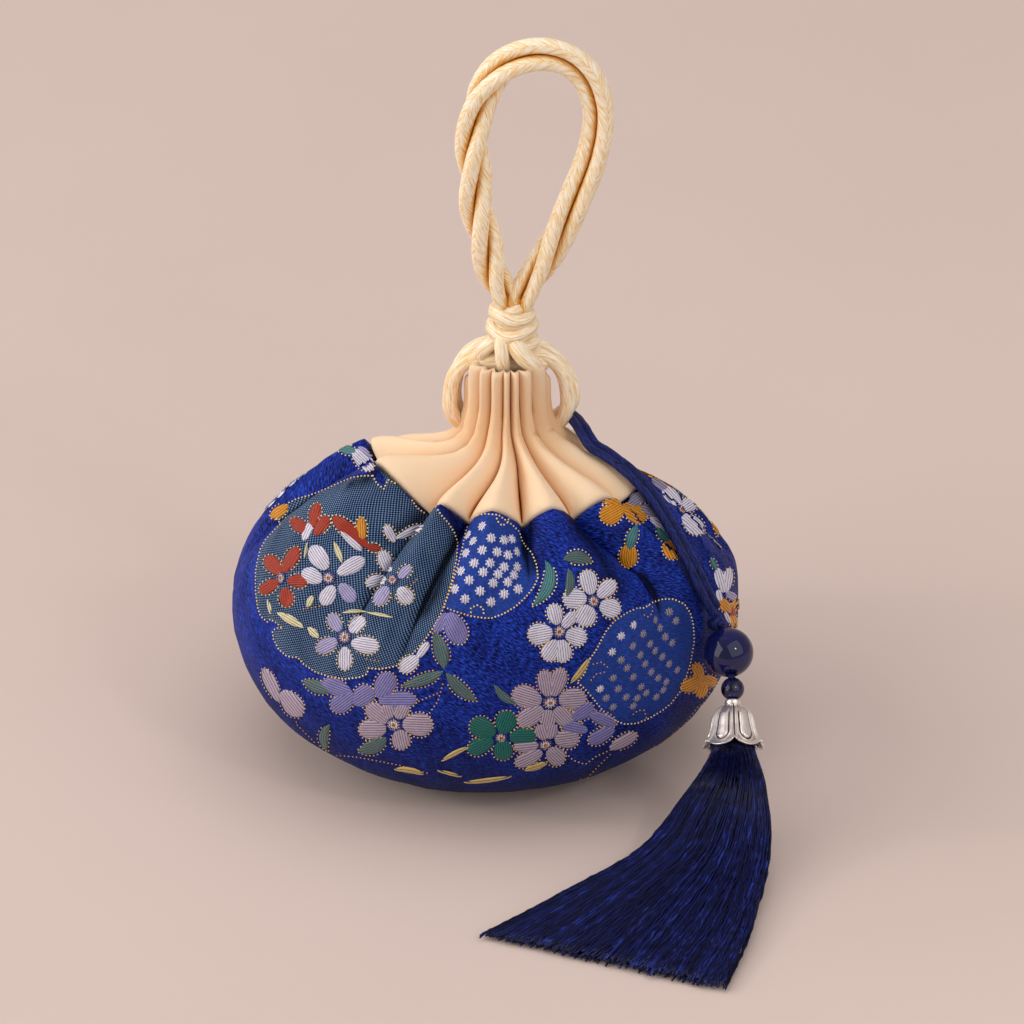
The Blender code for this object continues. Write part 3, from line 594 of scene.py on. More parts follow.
bag_mesh = finer_cloth("pouch_body", 2, valley=0.55, hem=0.75)
points = vertex_points(bag_mesh)
normals = vertex_normals(bag_mesh)
swell = np.zeros(len(points))
for i, (point, flat) in enumerate(zip(points, cloth_place(points))):
    gather = ease(30.0, 62.0, point[2] / MM) * (1 - ease(80.0, 92.0, point[2] / MM))
    ground = ease(1.0, 9.0, point[2] / MM)
    lumps = noise.noise(Vector(point) / LARGE_LUMP) * 0.55 + noise.noise(Vector(point) / SMALL_LUMP) * 0.22
    pulls = noise.noise(Vector((flat[0] / 3.4, flat[1] / 22.0, 3.0)))
    slack = noise.noise(Vector((flat[0] / 9.0, flat[1] / 3.0, 9.0))) * 0.18
    swell[i] = (lumps + slack + pulls * 0.75 * gather) * ground * (1 - ease(86.0, 90.0, point[2] / MM))
bag_mesh.vertices.foreach_set("co", (points + normals * swell[:, None] * MM).ravel())
bag_mesh.update()
cloth_uvs(bag_mesh)
add_attribute(bag_mesh, "FoldShade", fold_depth(bag_mesh, 12))
bag_tree = BVHTree.FromPolygons([v.co.copy() for v in bag_mesh.vertices],
                                [tuple(f.vertices) for f in bag_mesh.polygons])
print("brocade faces", len(bag_mesh.polygons))

# %% [markdown]
# ### Fields in the weave
# Brocade is woven with several wefts: most of the bag is blue satin, one large scalloped field is a
# grey-blue twill, and smaller fields have the spotted tie-dye pattern. Their outlines are drawn once
# on the picture plane and carried onto the cloth. Each point of the cloth keeps its distance to the
# nearest outline, in millimetres, so that the material can change colour along a clean edge. The same
# fields are repeated half a turn round, because the cloth repeats.

# %% Field outlines
TWILL_FIELD = [
    (373, 476), (377, 484), (384, 489), (388, 480), (398, 485), (405, 492), (411, 499), (417, 508), (424, 513),
    (431, 508), (436, 507), (441, 515), (448, 523), (454, 532), (458, 544), (457, 559), (453, 578), (448, 595),
    (442, 612), (432, 630), (423, 643), (411, 656), (404, 663), (392, 667), (379, 669), (369, 668), (367, 674),
    (360, 677), (346, 679), (331, 677), (316, 672), (304, 664), (298, 657), (293, 657), (287, 656), (279, 649),
    (274, 639), (273, 632), (276, 628), (283, 628), (277, 623), (271, 619), (268, 622), (261, 616), (258, 607),
    (256, 591), (256, 572), (258, 561), (261, 549), (266, 540), (275, 530), (281, 524), (277, 519), (283, 509),
    (289, 503), (297, 499), (308, 496), (327, 489), (342, 482), (352, 478), (362, 476),
]
SPOT_FIELD_MIDDLE = [
    (470, 521), (476, 516), (486, 514), (498, 515), (505, 520), (512, 525), (519, 532), (522, 542), (532, 553),
    (537, 566), (538, 578), (534, 587), (526, 597), (515, 607), (503, 614), (492, 618), (484, 618), (471, 616),
    (457, 612), (444, 607), (450, 591), (455, 576), (459, 563), (463, 547), (466, 532),
]
SPOT_FIELD_RIGHT = [
    (590, 658), (596, 650), (600, 642), (606, 631), (614, 621), (626, 613), (637, 608), (644, 608), (653, 602),
    (663, 599), (673, 599), (684, 604), (690, 613), (693, 625), (694, 640), (692, 652), (690, 664), (686, 676),
    (680, 691), (671, 703), (661, 711), (649, 718), (637, 723), (625, 724), (616, 721), (606, 714), (598, 705),
    (592, 697), (584, 688), (577, 682), (584, 674),
]


def on_cloth(across, down):
    """The spot of the bag that a place in the picture shows, with its surface direction."""
    for step in range(12):
        inward = (Vector((500.0, 560.0)) - Vector((across, down))).normalized() * step * 1.5
        spot, normal, _, _ = bag_tree.ray_cast(camera_place, sight_line(across + inward.x, down + inward.y))
        if spot is not None:
            return spot, normal
    spot, normal, _, _ = bag_tree.find_nearest(camera_place + sight_line(across, down) * CAMERA_DISTANCE)
    return spot, normal


def half_turn(spot):
    """The matching spot on the far side of the bag."""
    shift = float(neck_shift(spot.z))
    behind = Vector((2 * shift - spot.x, -spot.y, spot.z - 0.3 * max(0.0, spot.z - 50 * MM)))
    place, normal, _, _ = bag_tree.find_nearest(behind)
    return place, normal


def edge_gap(flat, a, b):
    """Millimetres from each point of the flat cloth to the straight edge from a to b."""
    edge = b - a
    share = np.clip(((flat - a) @ edge) / max(edge @ edge, 1e-9), 0.0, 1.0)
    return np.hypot(*(flat - a - share[:, None] * edge).T)


def inside_distance(flat, outline):
    """Millimetres from each point to an outline, above 0 inside it."""
    corners = cloth_place([tuple(on_cloth(*pixel)[0]) for pixel in outline])
    best = np.full(len(flat), 1e9)
    inside = np.zeros(len(flat), dtype=bool)
    for a, b in zip(corners, np.roll(corners, -1, axis=0)):
        edge = b - a
        best = np.minimum(best, edge_gap(flat, a, b))
        crosses = (a[1] > flat[:, 1]) != (b[1] > flat[:, 1])
        rise = edge[1] if abs(edge[1]) > 1e-9 else 1e-9
        inside ^= crosses & (flat[:, 0] < a[0] + (flat[:, 1] - a[1]) / rise * edge[0])
    return np.where(inside, best, -best)


flat_front = cloth_place(vertex_points(bag_mesh))
flat_back = flat_front.copy()
flat_back[:, 0] -= np.sign(flat_front[:, 0] + 1e-9) * AROUND_MM * math.pi


def field_attribute(name, outlines):
    distance = np.full(len(flat_front), -50.0)
    for outline in outlines:
        for flat in (flat_front, flat_back):
            distance = np.maximum(distance, inside_distance(flat, outline))
    add_attribute(bag_mesh, name, np.clip(distance, -6.0, 6.0))
    print(name, "covers", round(100 * float((distance > 0).mean())), "percent")


field_attribute("Twill", [TWILL_FIELD])
field_attribute("Spotted", [SPOT_FIELD_MIDDLE, SPOT_FIELD_RIGHT])

# %% [markdown]
# ### Deep gathers
# Where the drawn neck pulls hardest, the cloth dives into gathers that are deeper than the filled
# solid shows, and hardly any light comes back out, so their shadow is painted into the cloth's colour.
# Their bottoms are drawn as lines on the picture plane, each with the width of its painted shadow in millimetres on
# the cloth.

# %% Gather lines
GATHER_LINES = [
    ([(461, 506), (458, 530), (449, 560), (438, 588), (426, 612)], 3.4),
    ([(524, 528), (530, 548), (535, 566)], 3.2),
    ([(572, 520), (590, 542), (605, 564), (614, 586)], 7.0),
    ([(424, 513), (408, 526), (392, 538)], 3.0),
    ([(380, 470), (372, 478), (350, 484)], 2.6),
    ([(650, 500), (668, 520), (680, 545)], 3.0),
]
GATHER_FALL = 1.3
gather_shade = np.zeros(len(flat_front))
for line, width in GATHER_LINES:
    corners = cloth_place([tuple(on_cloth(*pixel)[0]) for pixel in line])
    for a, b in zip(corners, corners[1:]):
        depth = np.clip(1 - edge_gap(flat_front, a, b) / width, 0.0, 1.0) ** GATHER_FALL
        gather_shade = np.maximum(gather_shade, depth)
add_attribute(bag_mesh, "GatherShade", gather_shade)
print("gather lines", len(GATHER_LINES))

# %% [markdown]
# ### The brocade finish
# Satin weave floats its warp in short overlapping streaks, about half a millimetre apart, with dark
# gaps between them. It has a soft silky highlight. The twill field shows fine slanting ribs of grey
# on blue. Down in the folds both are painted nearly black, as painted shade, because little light
# comes back out of blue cloth. The satin is also painted darker under the belly and to the right, as painted shade.

# %% Brocade material
def ribs(tree, place, pitch_mm, turn_degrees, wobble):
    """Lines a given pitch apart, as a height from 0 to 1."""
    angle = math.radians(turn_degrees)
    parts = add_node(tree, "SeparateXYZ", {0: place})
    along = math_node(tree, "MULTIPLY", parts.outputs[0], 2 * math.pi * math.cos(angle) / pitch_mm)
    along = math_node(tree, "MULTIPLY_ADD", parts.outputs[1], 2 * math.pi * math.sin(angle) / pitch_mm, along)
    along = math_node(tree, "MULTIPLY_ADD", cloudy(tree, 0.35, 2.0, place), wobble, along)
    return math_node(tree, "MULTIPLY_ADD", math_node(tree, "SINE", along), 0.5, 0.5)


def edge_of(tree, name):
    """A field's mask, with an edge as soft as one thread."""
    return map_range(tree, attribute(tree, name), -0.12, 0.12)


def capped_sum(tree, first, second):
    return add_node(tree, "Math", {0: first, 1: second}, operation="ADD", use_clamp=True).outputs[0]


brocade, tree, shader = new_material("silk_brocade", 0.5, Specular_IOR_Level=0.07)
place = cloth_map(tree)
waver = add_node(tree, "TexNoise", {"Vector": place, "Scale": 0.45, "Detail": 1.0}).outputs[1]
waver = add_node(tree, "VectorMath", {0: waver, 1: (1.3, 1.3, 0.0)}, operation="MULTIPLY").outputs[0]
wavy = add_node(tree, "VectorMath", {0: place, 1: waver}, operation="ADD").outputs[0]
floats = streak(tree, wavy, 0.3, 1.5, -24.0, 1.0)
slubs = streak(tree, place, 7.0, 14.0, -50.0, 3.0)
satin_tone = math_node(tree, "MULTIPLY_ADD", slubs, 0.28, math_node(tree, "MULTIPLY", floats, 0.9))
satin = colour_steps(tree, satin_tone,
                     [(0.38, "03061A"), (0.50, "0B1757"), (0.62, "162B8A"), (0.78, "244AC4")])
rib = ribs(tree, place, 0.62, 38.0, 1.5)
cross = ribs(tree, place, 0.55, -62.0, 1.0)
twill_tone = math_node(tree, "MULTIPLY_ADD", cross, 0.45, math_node(tree, "MULTIPLY", rib, 0.55))
twill_tone = math_node(tree, "MULTIPLY_ADD", slubs, 0.3, math_node(tree, "SUBTRACT", twill_tone, 0.15))
twill = colour_steps(tree, twill_tone,
                     [(0.12, "070E28"), (0.42, "1D325E"), (0.72, "416188"), (0.95, "8FA6BC")])
spotted = blend_colour(tree, 0.5, satin, linear("2C4A98"))
colour = blend_colour(tree, edge_of(tree, "Spotted"), satin, spotted)
colour = blend_colour(tree, edge_of(tree, "Twill"), colour, twill)
# Painted shade: folds and deep gathers are darkened towards near black.
shade = capped_sum(tree, map_range(tree, attribute(tree, "FoldShade"), 0.0, 0.6), attribute(tree, "GatherShade"))
colour = blend_colour(tree, math_node(tree, "MULTIPLY", shade, 0.9), colour, linear("02030F"))
# Painted shade: darker towards the bottom of the bag and towards its right side.
spot = add_node(tree, "SeparateXYZ", {0: add_node(tree, "TexCoord").outputs["Object"]})
under = map_range(tree, spot.outputs[2], 42 * MM, 8 * MM, to_max=0.85)
beyond = map_range(tree, spot.outputs[0], 40 * MM, 66 * MM, to_max=0.45)
painted_low_right_shade = capped_sum(tree, under, beyond)
colour = blend_colour(tree, math_node(tree, "MULTIPLY", painted_low_right_shade, 0.85), colour, linear("04061C"))
paint(tree, shader, colour)
height = blend_colour(tree, edge_of(tree, "Twill"), floats, twill_tone)
add_bump(tree, shader, height, 0.22)

bag = dress("brocade_bag", bag_mesh, brocade, replaces=("pouch_body",))
print(bag.name, "dressed")

# %% [markdown]
# ## The embroidered flowers
# The flowers stand proud of the ground because their silk floats over it in long satin stitches. Each
# petal and leaf is a small cushion of its own on the cloth, thin at its edge and full in the middle,
# with its stitches drawn lengthwise in the material. Fine gold thread is couched round them in dots.
# Rows give a colour, whether gold dots edge the patch, its half width, and its axis from the root to
# the tip. They were read off five enlarged views of the picture. Each view has its left and top edge
# in pixels and its enlargement, and every patch is repeated on the far side.

# %% Where the motifs lie
VIEWS = {
    "upper_left": (220, 400, 5.225), "upper_right": (400, 400, 5.2267), "belly": (400, 560, 4.9),
    "lower_left": (220, 640, 4.6118), "right_edge": (640, 420, 4.3563),
}
PATCH_ROWS = {
    "upper_left": [
        ("red", 1, 30, (458, 690), (376, 625)), ("red", 1, 26, (482, 660), (514, 546)),
        ("red", 1, 30, (500, 700), (566, 610)), ("white", 0, 22, (438, 728), (478, 650)),
        ("cream", 0, 7, (462, 740), (445, 820)), ("red", 1, 34, (775, 765), (592, 612)),
        ("orange", 1, 24, (742, 740), (735, 615)), ("red", 1, 17, (765, 762), (835, 778)),
        ("white", 0, 20, (636, 690), (738, 782)), ("red", 1, 36, (312, 905), (245, 822)),
        ("red", 1, 32, (335, 892), (408, 775)), ("red", 1, 30, (302, 945), (216, 1004)),
        ("red", 1, 32, (362, 945), (452, 945)), ("red", 1, 34, (338, 985), (356, 1078)),
        ("white", 0, 46, (556, 880), (482, 768)), ("white", 0, 38, (622, 905), (750, 832)),
        ("white", 0, 40, (528, 940), (432, 900)), ("white", 0, 38, (590, 975), (536, 1068)),
        ("lilac", 0, 36, (630, 965), (702, 1048)), ("white", 1, 34, (884, 892), (845, 795)),
        ("white", 1, 30, (862, 932), (770, 962)), ("lilac", 1, 36, (872, 982), (818, 1066)),
        ("white", 1, 38, (938, 985), (992, 1056)), ("lilac", 1, 24, (940, 925), (992, 872)),
        ("white", 1, 22, (910, 738), (865, 660)), ("white", 1, 20, (925, 722), (1056, 656)),
        ("lilac", 1, 34, (624, 1200), (580, 1124)), ("white", 1, 34, (682, 1205), (746, 1138)),
        ("white", 1, 42, (695, 1268), (826, 1292)), ("lilac", 1, 38, (605, 1258), (514, 1304)),
        ("white", 1, 34, (652, 1295), (655, 1406)), ("cream", 0, 15, (596, 738), (640, 846)),
        ("cream", 0, 22, (300, 1106), (436, 1186)), ("cream", 0, 20, (458, 1186), (514, 1236)),
        ("cream", 0, 18, (488, 1020), (458, 1074)), ("cream", 0, 9, (765, 1106), (900, 1132)),
        ("cream", 0, 10, (640, 1112), (700, 1098), (762, 1108)), ("cream", 0, 8, (250, 1040), (268, 1112)),
        ("white", 1, 38, (1030, 1350), (948, 1412)), ("white", 0, 20, (1034, 1345), (1088, 1270)),
        ("lavender", 1, 52, (1196, 1120), (1262, 1272)), ("lavender", 0, 26, (1182, 1118), (1128, 1214)),
        ("teal", 1, 24, (600, 248), (718, 272)), ("white", 1, 38, (702, 268), (796, 362)),
        ("lilac", 0, 18, (732, 250), (792, 296)), ("white", 0, 24, (412, 372), (338, 448)),
        ("white", 0, 24, (340, 440), (282, 508)), ("white", 0, 22, (290, 498), (222, 566)),
        ("orange", 1, 26, (350, 552), (274, 612)), ("lilac", 1, 20, (938, 378), (980, 436)),
        ("leaf", 1, 30, (1172, 1418), (1080, 1462), (952, 1494)),
        ("leaf", 1, 32, (1182, 1420), (1236, 1510), (1336, 1566)),
        ("leaf", 1, 38, (1168, 1408), (1170, 1320), (1120, 1210)),
    ],
    "lower_left": [
        ("rose", 1, 26, (272, 275), (205, 135)), ("rose", 1, 42, (292, 240), (372, 345)),
        ("leaf", 1, 28, (514, 246), (386, 188)), ("lavender", 1, 36, (600, 244), (476, 196)),
        ("lavender", 1, 44, (612, 250), (520, 318)), ("lavender", 1, 46, (616, 284), (706, 232)),
        ("lavender", 1, 46, (728, 256), (792, 158)), ("lavender", 1, 38, (738, 276), (904, 276)),
        ("rose", 1, 40, (768, 372), (684, 304)), ("rose", 0, 36, (784, 356), (766, 300)),
        ("rose", 1, 36, (822, 356), (850, 296)), ("rose", 1, 50, (848, 388), (976, 392)),
        ("rose", 1, 40, (826, 420), (842, 498)), ("rose", 1, 44, (760, 410), (646, 412)),
        ("leaf", 1, 22, (512, 388), (452, 440), (504, 508)), ("leaf", 1, 34, (768, 448), (720, 500), (640, 508)),
        ("gold", 0, 14, (804, 596), (870, 592), (936, 618)),
        ("gold", 0, 10, (1120, 656), (1230, 652), (1344, 628)),
        ("gold", 0, 12, (1020, 560), (1080, 520), (1144, 494)),
        ("gold", 0, 7, (1000, 600), (1060, 612), (1112, 628)),
    ],
    "upper_right": [
        ("leaf", 1, 34, (852, 838), (924, 800), (1000, 850)),
        ("teal", 1, 32, (756, 838), (838, 960), (690, 1070)),
        ("leaf", 0, 24, (878, 880), (910, 950), (862, 1046)), ("orange", 1, 30, (1146, 542), (1046, 494)),
        ("orange", 1, 50, (1160, 562), (1056, 622)), ("orange", 1, 46, (1182, 566), (1280, 622)),
        ("orange", 0, 22, (1170, 548), (1222, 568)), ("grey", 1, 36, (1168, 520), (1246, 424)),
        ("grey", 0, 34, (1190, 552), (1292, 480)), ("grey", 1, 32, (1262, 566), (1346, 592)),
        ("white", 0, 24, (1310, 616), (1410, 690)), ("teal", 1, 26, (1238, 650), (1206, 720), (1192, 790)),
        ("orange", 1, 30, (1196, 768), (1160, 806), (1196, 872)), ("orange", 1, 22, (1218, 772), (1214, 862)),
        ("teal", 1, 26, (1344, 656), (1368, 700), (1410, 746)), ("orange", 1, 44, (1392, 728), (1448, 826)),
    ],
    "belly": [
        ("white", 1, 40, (936, 160), (912, 52)), ("white", 1, 36, (975, 178), (1048, 108)),
        ("white", 1, 48, (906, 192), (804, 186)), ("white", 1, 50, (930, 232), (886, 316)),
        ("white", 1, 44, (985, 222), (1072, 248)), ("white", 1, 36, (770, 308), (752, 222)),
        ("white", 1, 50, (738, 352), (630, 374)), ("white", 1, 44, (768, 400), (716, 486)),
        ("white", 1, 44, (790, 398), (798, 494)), ("white", 1, 44, (818, 362), (908, 388)),
        ("white", 0, 28, (800, 326), (856, 262)), ("rose", 1, 38, (724, 660), (706, 545)),
        ("rose", 1, 38, (752, 660), (792, 532)), ("rose", 1, 52, (684, 690), (556, 650)),
        ("rose", 1, 50, (786, 688), (908, 676)), ("rose", 1, 44, (694, 728), (584, 798)),
        ("rose", 1, 42, (764, 728), (828, 800)), ("rose", 0, 40, (728, 740), (716, 808)),
        ("jade", 1, 48, (462, 850), (346, 800)), ("jade", 1, 48, (500, 842), (540, 746)),
        ("jade", 1, 42, (546, 868), (660, 862)), ("jade", 1, 44, (502, 888), (512, 974)),
        ("jade", 1, 38, (452, 884), (340, 938)), ("rose", 0, 34, (706, 870), (684, 808)),
        ("rose", 0, 34, (730, 868), (746, 806)), ("rose", 1, 44, (766, 884), (872, 868)),
        ("rose", 1, 42, (732, 930), (792, 990)), ("rose", 1, 28, (672, 905), (562, 916)),
        ("rose", 1, 34, (690, 940), (566, 1002)), ("lavender", 1, 36, (846, 776), (940, 712)),
        ("lavender", 1, 30, (930, 756), (1054, 802)), ("lavender", 1, 30, (910, 834), (796, 808)),
        ("lavender", 1, 32, (1044, 826), (926, 890)), ("rose", 1, 28, (1036, 922), (1156, 852)),
        ("gold", 0, 16, (832, 602), (880, 560), (926, 478)), ("leaf", 0, 20, (462, 606), (500, 680), (566, 702)),
        ("gold", 0, 18, (608, 1030), (716, 994)),
    ],
    "right_edge": [
        ("orange", 0, 16, (8, 202), (64, 250)), ("orange", 1, 22, (72, 240), (164, 262)),
        ("red", 0, 14, (98, 262), (150, 292)), ("teal", 1, 16, (150, 262), (196, 280), (234, 334)),
        ("grey", 0, 18, (56, 262), (116, 304)), ("white", 0, 28, (168, 366), (104, 296)),
        ("white", 1, 32, (188, 384), (240, 348)), ("white", 1, 34, (190, 418), (268, 494)),
        ("teal", 1, 10, (304, 598), (332, 652)), ("white", 0, 20, (360, 746), (334, 648)),
        ("white", 1, 20, (376, 744), (388, 650)), ("lilac", 0, 16, (380, 752), (414, 776)),
        ("white", 0, 12, (350, 790), (338, 746)), ("orange", 1, 22, (392, 830), (346, 786)),
        ("orange", 1, 20, (404, 830), (432, 784)), ("red", 0, 12, (402, 820), (404, 852)),
        ("orange", 1, 16, (402, 850), (416, 900)), ("white", 0, 8, (386, 880), (372, 840)),
        ("orange", 1, 28, (268, 1128), (184, 1170)), ("orange", 1, 24, (266, 1126), (238, 1064)),
        ("orange", 1, 28, (280, 1136), (258, 1204)), ("orange", 1, 24, (280, 1126), (330, 1150)),
    ],
}
CENTRE_ROWS = {
    "upper_left": [
        (325, 930, 30), (572, 930, 34), (905, 938, 28), (652, 1238, 36),
    ],
    "lower_left": [
        (802, 388, 36),
    ],
    "belly": [
        (945, 200, 30), (780, 350, 34), (735, 698, 38), (495, 865, 28), (710, 902, 32),
    ],
    "right_edge": [
        (178, 398, 18),
    ],
}
LINE_ROWS = {
    "upper_left": [
        [(440, 1090), (500, 1082), (580, 1068)], [(770, 1354), (830, 1362)],
        [(880, 1036), (940, 1028), (1036, 930)],
    ],
    "lower_left": [
        [(1030, 205), (1004, 280), (940, 372)], [(918, 282), (1004, 244)],
        [(375, 345), (352, 384), (398, 430), (444, 474)],
        [(540, 530), (640, 540), (740, 556), (830, 576), (960, 612)],
    ],
    "belly": [
        [(800, 930), (850, 980), (905, 998), (960, 960), (1040, 925)], [(890, 1092), (960, 1020), (1040, 940)],
        [(1510, 694), (1460, 714), (1410, 778), (1340, 866), (1266, 984)],
        [(1195, 270), (1216, 278), (1236, 258), (1236, 232), (1212, 220)], [(948, 510), (986, 502), (1022, 530)],
        [(1000, 548), (962, 560), (930, 592)], [(1140, 756), (1164, 736), (1196, 736), (1204, 772)],
    ],
}
STAR_ROWS = {
    "upper_right": [
        (430, 660), (358, 706), (382, 736), (478, 720), (545, 730), (584, 727), (345, 802), (428, 786),
        (505, 796), (565, 812), (612, 796), (385, 850), (470, 850), (545, 872), (614, 872), (320, 895),
        (435, 900), (512, 908), (594, 914), (362, 942), (486, 958), (562, 952), (288, 990), (416, 996),
        (542, 1012), (616, 990), (340, 1042), (474, 1056),
    ],
    "belly": [
        (1145, 320), (1085, 370), (1190, 365), (1040, 450), (1140, 420), (1085, 490), (1250, 295), (1320, 255),
        (1275, 335), (1350, 300), (1225, 410), (1300, 375), (1335, 405), (1175, 465), (1250, 445), (1110, 530),
        (1200, 512), (1285, 475), (1320, 510), (1230, 550), (1140, 575), (1045, 580), (1265, 580), (1355, 540),
        (1305, 600), (1070, 630), (1180, 622), (980, 630), (1010, 676), (1108, 670), (1205, 650), (1290, 636),
        (1045, 718), (1140, 715), (1160, 674), (1255, 672),
    ],
}


def picture_places(view, points):
    """Places in an enlarged view as whole pixels of the picture."""
    left, top, enlarged = VIEWS[view]
    return [(round(left + x / enlarged), round(top + y / enlarged)) for x, y in points]


def picture_size(view, size):
    return round(size / VIEWS[view][2], 1)


PATCHES = [(colour, dots, picture_size(view, half), *picture_places(view, axis))
           for view, rows in PATCH_ROWS.items() for colour, dots, half, *axis in rows]
FLOWER_CENTRES = [(*picture_places(view, [(x, y)])[0], picture_size(view, size))
                  for view, rows in CENTRE_ROWS.items() for x, y, size in rows]
GOLD_LINES = [picture_places(view, line) for view, rows in LINE_ROWS.items() for line in rows]
STARS_MIDDLE, STARS_RIGHT = [picture_places(view, rows) for view, rows in STAR_ROWS.items()]
MM_PER_PIXEL = PICTURE_WIDTH / PIXELS / MM
print("patches", len(PATCHES), "stars", len(STARS_MIDDLE) + len(STARS_RIGHT))

# %% [markdown]
# ### Stitching a patch
# A patch is a grid of points over its stretch of cloth. Every point is first found on the picture plane
# and carried onto the bag along the line of sight, and then raised off it, most in the middle.

# %% Stitched patches
THREADS = {
    "white": ("ECE9F6", "3A3E7C"), "lilac": ("B7B2DA", "2E3170"), "lavender": ("8C88C4", "252763"),
    "rose": ("BFAEBE", "2C2C60"), "grey": ("9C96AE", "1B1D45"), "cream": ("F2E9BE", "4A4A42"),
    "red": ("B03A22", "560F14"), "orange": ("E39A22", "6B3607"), "teal": ("4E8C8E", "123048"),
    "jade": ("0E6E66", "04303A"), "leaf": ("5A7570", "1A2C4A"), "gold": ("D9BE6E", "1E2750"),
    "middle": ("2B2E7A", "10133C"), "ochre": ("B8702E", "5A2C0C"),
}
PATCH_WIDE = 8
PATCH_LONG = 12
PATCH_LIFT = 0.34
EDGE_LIFT = 0.06
FLAT_PATCHES = ("leaf", "teal", "gold", "cream")
TIP_PIXELS = 1.6
ROOT_PIXELS = 1.8
FRONT_GAP_MM = 2.4
BACK_GAP_MM = 1.9
RIM_PIXELS = 1.4
WARM_BELOW = 660
DISC_STEPS = 32


def axis_point(axis, share):
    """A place on the patch's axis, straight or bent."""
    if len(axis) == 2:
        return axis[0].lerp(axis[1], share)
    return axis[0].lerp(axis[1], share).lerp(axis[1].lerp(axis[2], share), share)


def patch_outline(colour, share):
    """Share of the full half width: petals are blunt at their tip, and leaves are pointed."""
    if colour in FLAT_PATCHES:
        return math.sin(math.pi * min(1.0, share)) ** 0.8
    return 1.5 * share ** 0.42 * max(0.0, 1 - share ** 3.4) ** 0.72


def patch_pixels(colour, half, axis, across, share):
    ahead = (axis_point(axis, min(1.0, share + 0.02)) - axis_point(axis, max(0.0, share - 0.02))).normalized()
    sideways = Vector((-ahead.y, ahead.x))
    return axis_point(axis, share) + sideways * across * half * patch_outline(colour, share)


def both_sides(pixel):
    """The spot under a pixel and the same spot half a turn round."""
    spot, normal = on_cloth(*pixel)
    return (spot, normal), half_turn(spot)


stitch_verts, stitch_faces, stitch_uvs, stitch_colours, gap_colours = [], [], [], [], []


def add_patch(grid, size_mm, colour, whole=False):
    """Cushion over a grid of (spot, normal, lift, u, v) rows, left open where a fold hides its cloth.

    A patch that must be whole is left out where more than a tenth of it would stay open.
    """
    start = len(stitch_verts)
    first_face = len(stitch_faces)
    wide = len(grid[0])
    for row in grid:
        for spot, normal, lift, u, v in row:
            stitch_verts.append(spot + normal * lift * MM)
            stitch_uvs.append((u, v))
            stitch_colours.append(linear(THREADS[colour][0]))
            gap_colours.append(linear(THREADS[colour][1]))
    for i in range(len(grid) - 1):
        for k in range(wide - 1):
            first = start + i * wide + k
            corners = (first, first + 1, first + wide + 1, first + wide)
            reach = max((stitch_verts[a] - stitch_verts[b]).length for a, b in zip(corners, corners[1:]))
            if reach < size_mm * MM:
                stitch_faces.append(corners)
    if whole and len(stitch_faces) - first_face < 0.9 * (len(grid) - 1) * (wide - 1):
        del stitch_faces[first_face:]
        return False
    return True


gold_spots = []
for colour, edged, half, *axis in PATCHES:
    axis = [Vector(p) for p in axis]
    reach = (axis[-1] - axis[0]).normalized()
    axis[-1] += reach * TIP_PIXELS
    if colour not in FLAT_PATCHES:
        axis[0] -= reach * ROOT_PIXELS
    length = sum((b - a).length for a, b in zip(axis, axis[1:])) * MM_PER_PIXEL
    front, back = [], []
    for i in range(PATCH_LONG + 1):
        rows = ([], [])
        for k in range(PATCH_WIDE + 1):
            share = 0.02 + (0.97 - 0.07 * (k % 2)) * i / PATCH_LONG
            across = 2 * k / PATCH_WIDE - 1
            hollow = (1 - across ** 4) * (1 - (2 * share - 1) ** 6)
            lift = EDGE_LIFT + PATCH_LIFT * max(0.0, hollow) ** 0.5
            u = across * half * patch_outline(colour, share) * MM_PER_PIXEL
            for row, (spot, normal) in zip(rows, both_sides(patch_pixels(colour, half, axis, across, share))):
                row.append((spot, normal, lift, u, share * length))
        front.append(rows[0])
        back.append(rows[1])
    add_patch(front, FRONT_GAP_MM, colour)
    repeated = add_patch(back, BACK_GAP_MM, colour, whole=True)
    if edged:
        rim = [patch_pixels(colour, half + RIM_PIXELS, axis, -1, s / 30) for s in range(6, 31)]
        rim += [patch_pixels(colour, half + RIM_PIXELS, axis, 1, s / 30) for s in range(30, 5, -1)]
        gold_spots.append((rim, 3.9, 0.26, "pale" if axis[0].y < WARM_BELOW else "warm", repeated))


# %% [markdown]
# ### Stars and flower middles
# The two spotted fields carry small eight-pointed stars, which stand for tie-dye dots. They are set on
# the cloth itself, so they narrow towards the folds. A flower's middle is a dark disc with a white star,
# an ochre dot and a ring of gold dots on it.

# %% Stars and middles
def cloth_disc(pixel, reach_mm, points, depth, colour, rise=0.0):
    """Small disc on the cloth with a wavy rim."""
    spot, normal = on_cloth(*pixel)
    for middle, facing in ((spot, normal), half_turn(spot)):
        upward = (Vector((0, 0, 1)) - facing * facing.z).normalized()
        side = upward.cross(facing)
        grid = []
        for i in range(DISC_STEPS + 1):
            turn = 2 * math.pi * i / DISC_STEPS
            row = []
            for share, lift in ((0.02, 0.3), (0.6, 0.28), (1.0, 0.07)):
                size = reach_mm * share * (1 - depth * (0.5 - 0.5 * math.cos(points * turn)) * share)
                offset = (side * math.sin(turn) + upward * math.cos(turn)) * size * MM
                place, near, _, _ = bag_tree.find_nearest(middle + offset)
                row.append((place, near, lift + rise, size * math.sin(turn), size * math.cos(turn)))
            grid.append(row)
        add_patch(grid, FRONT_GAP_MM, colour)


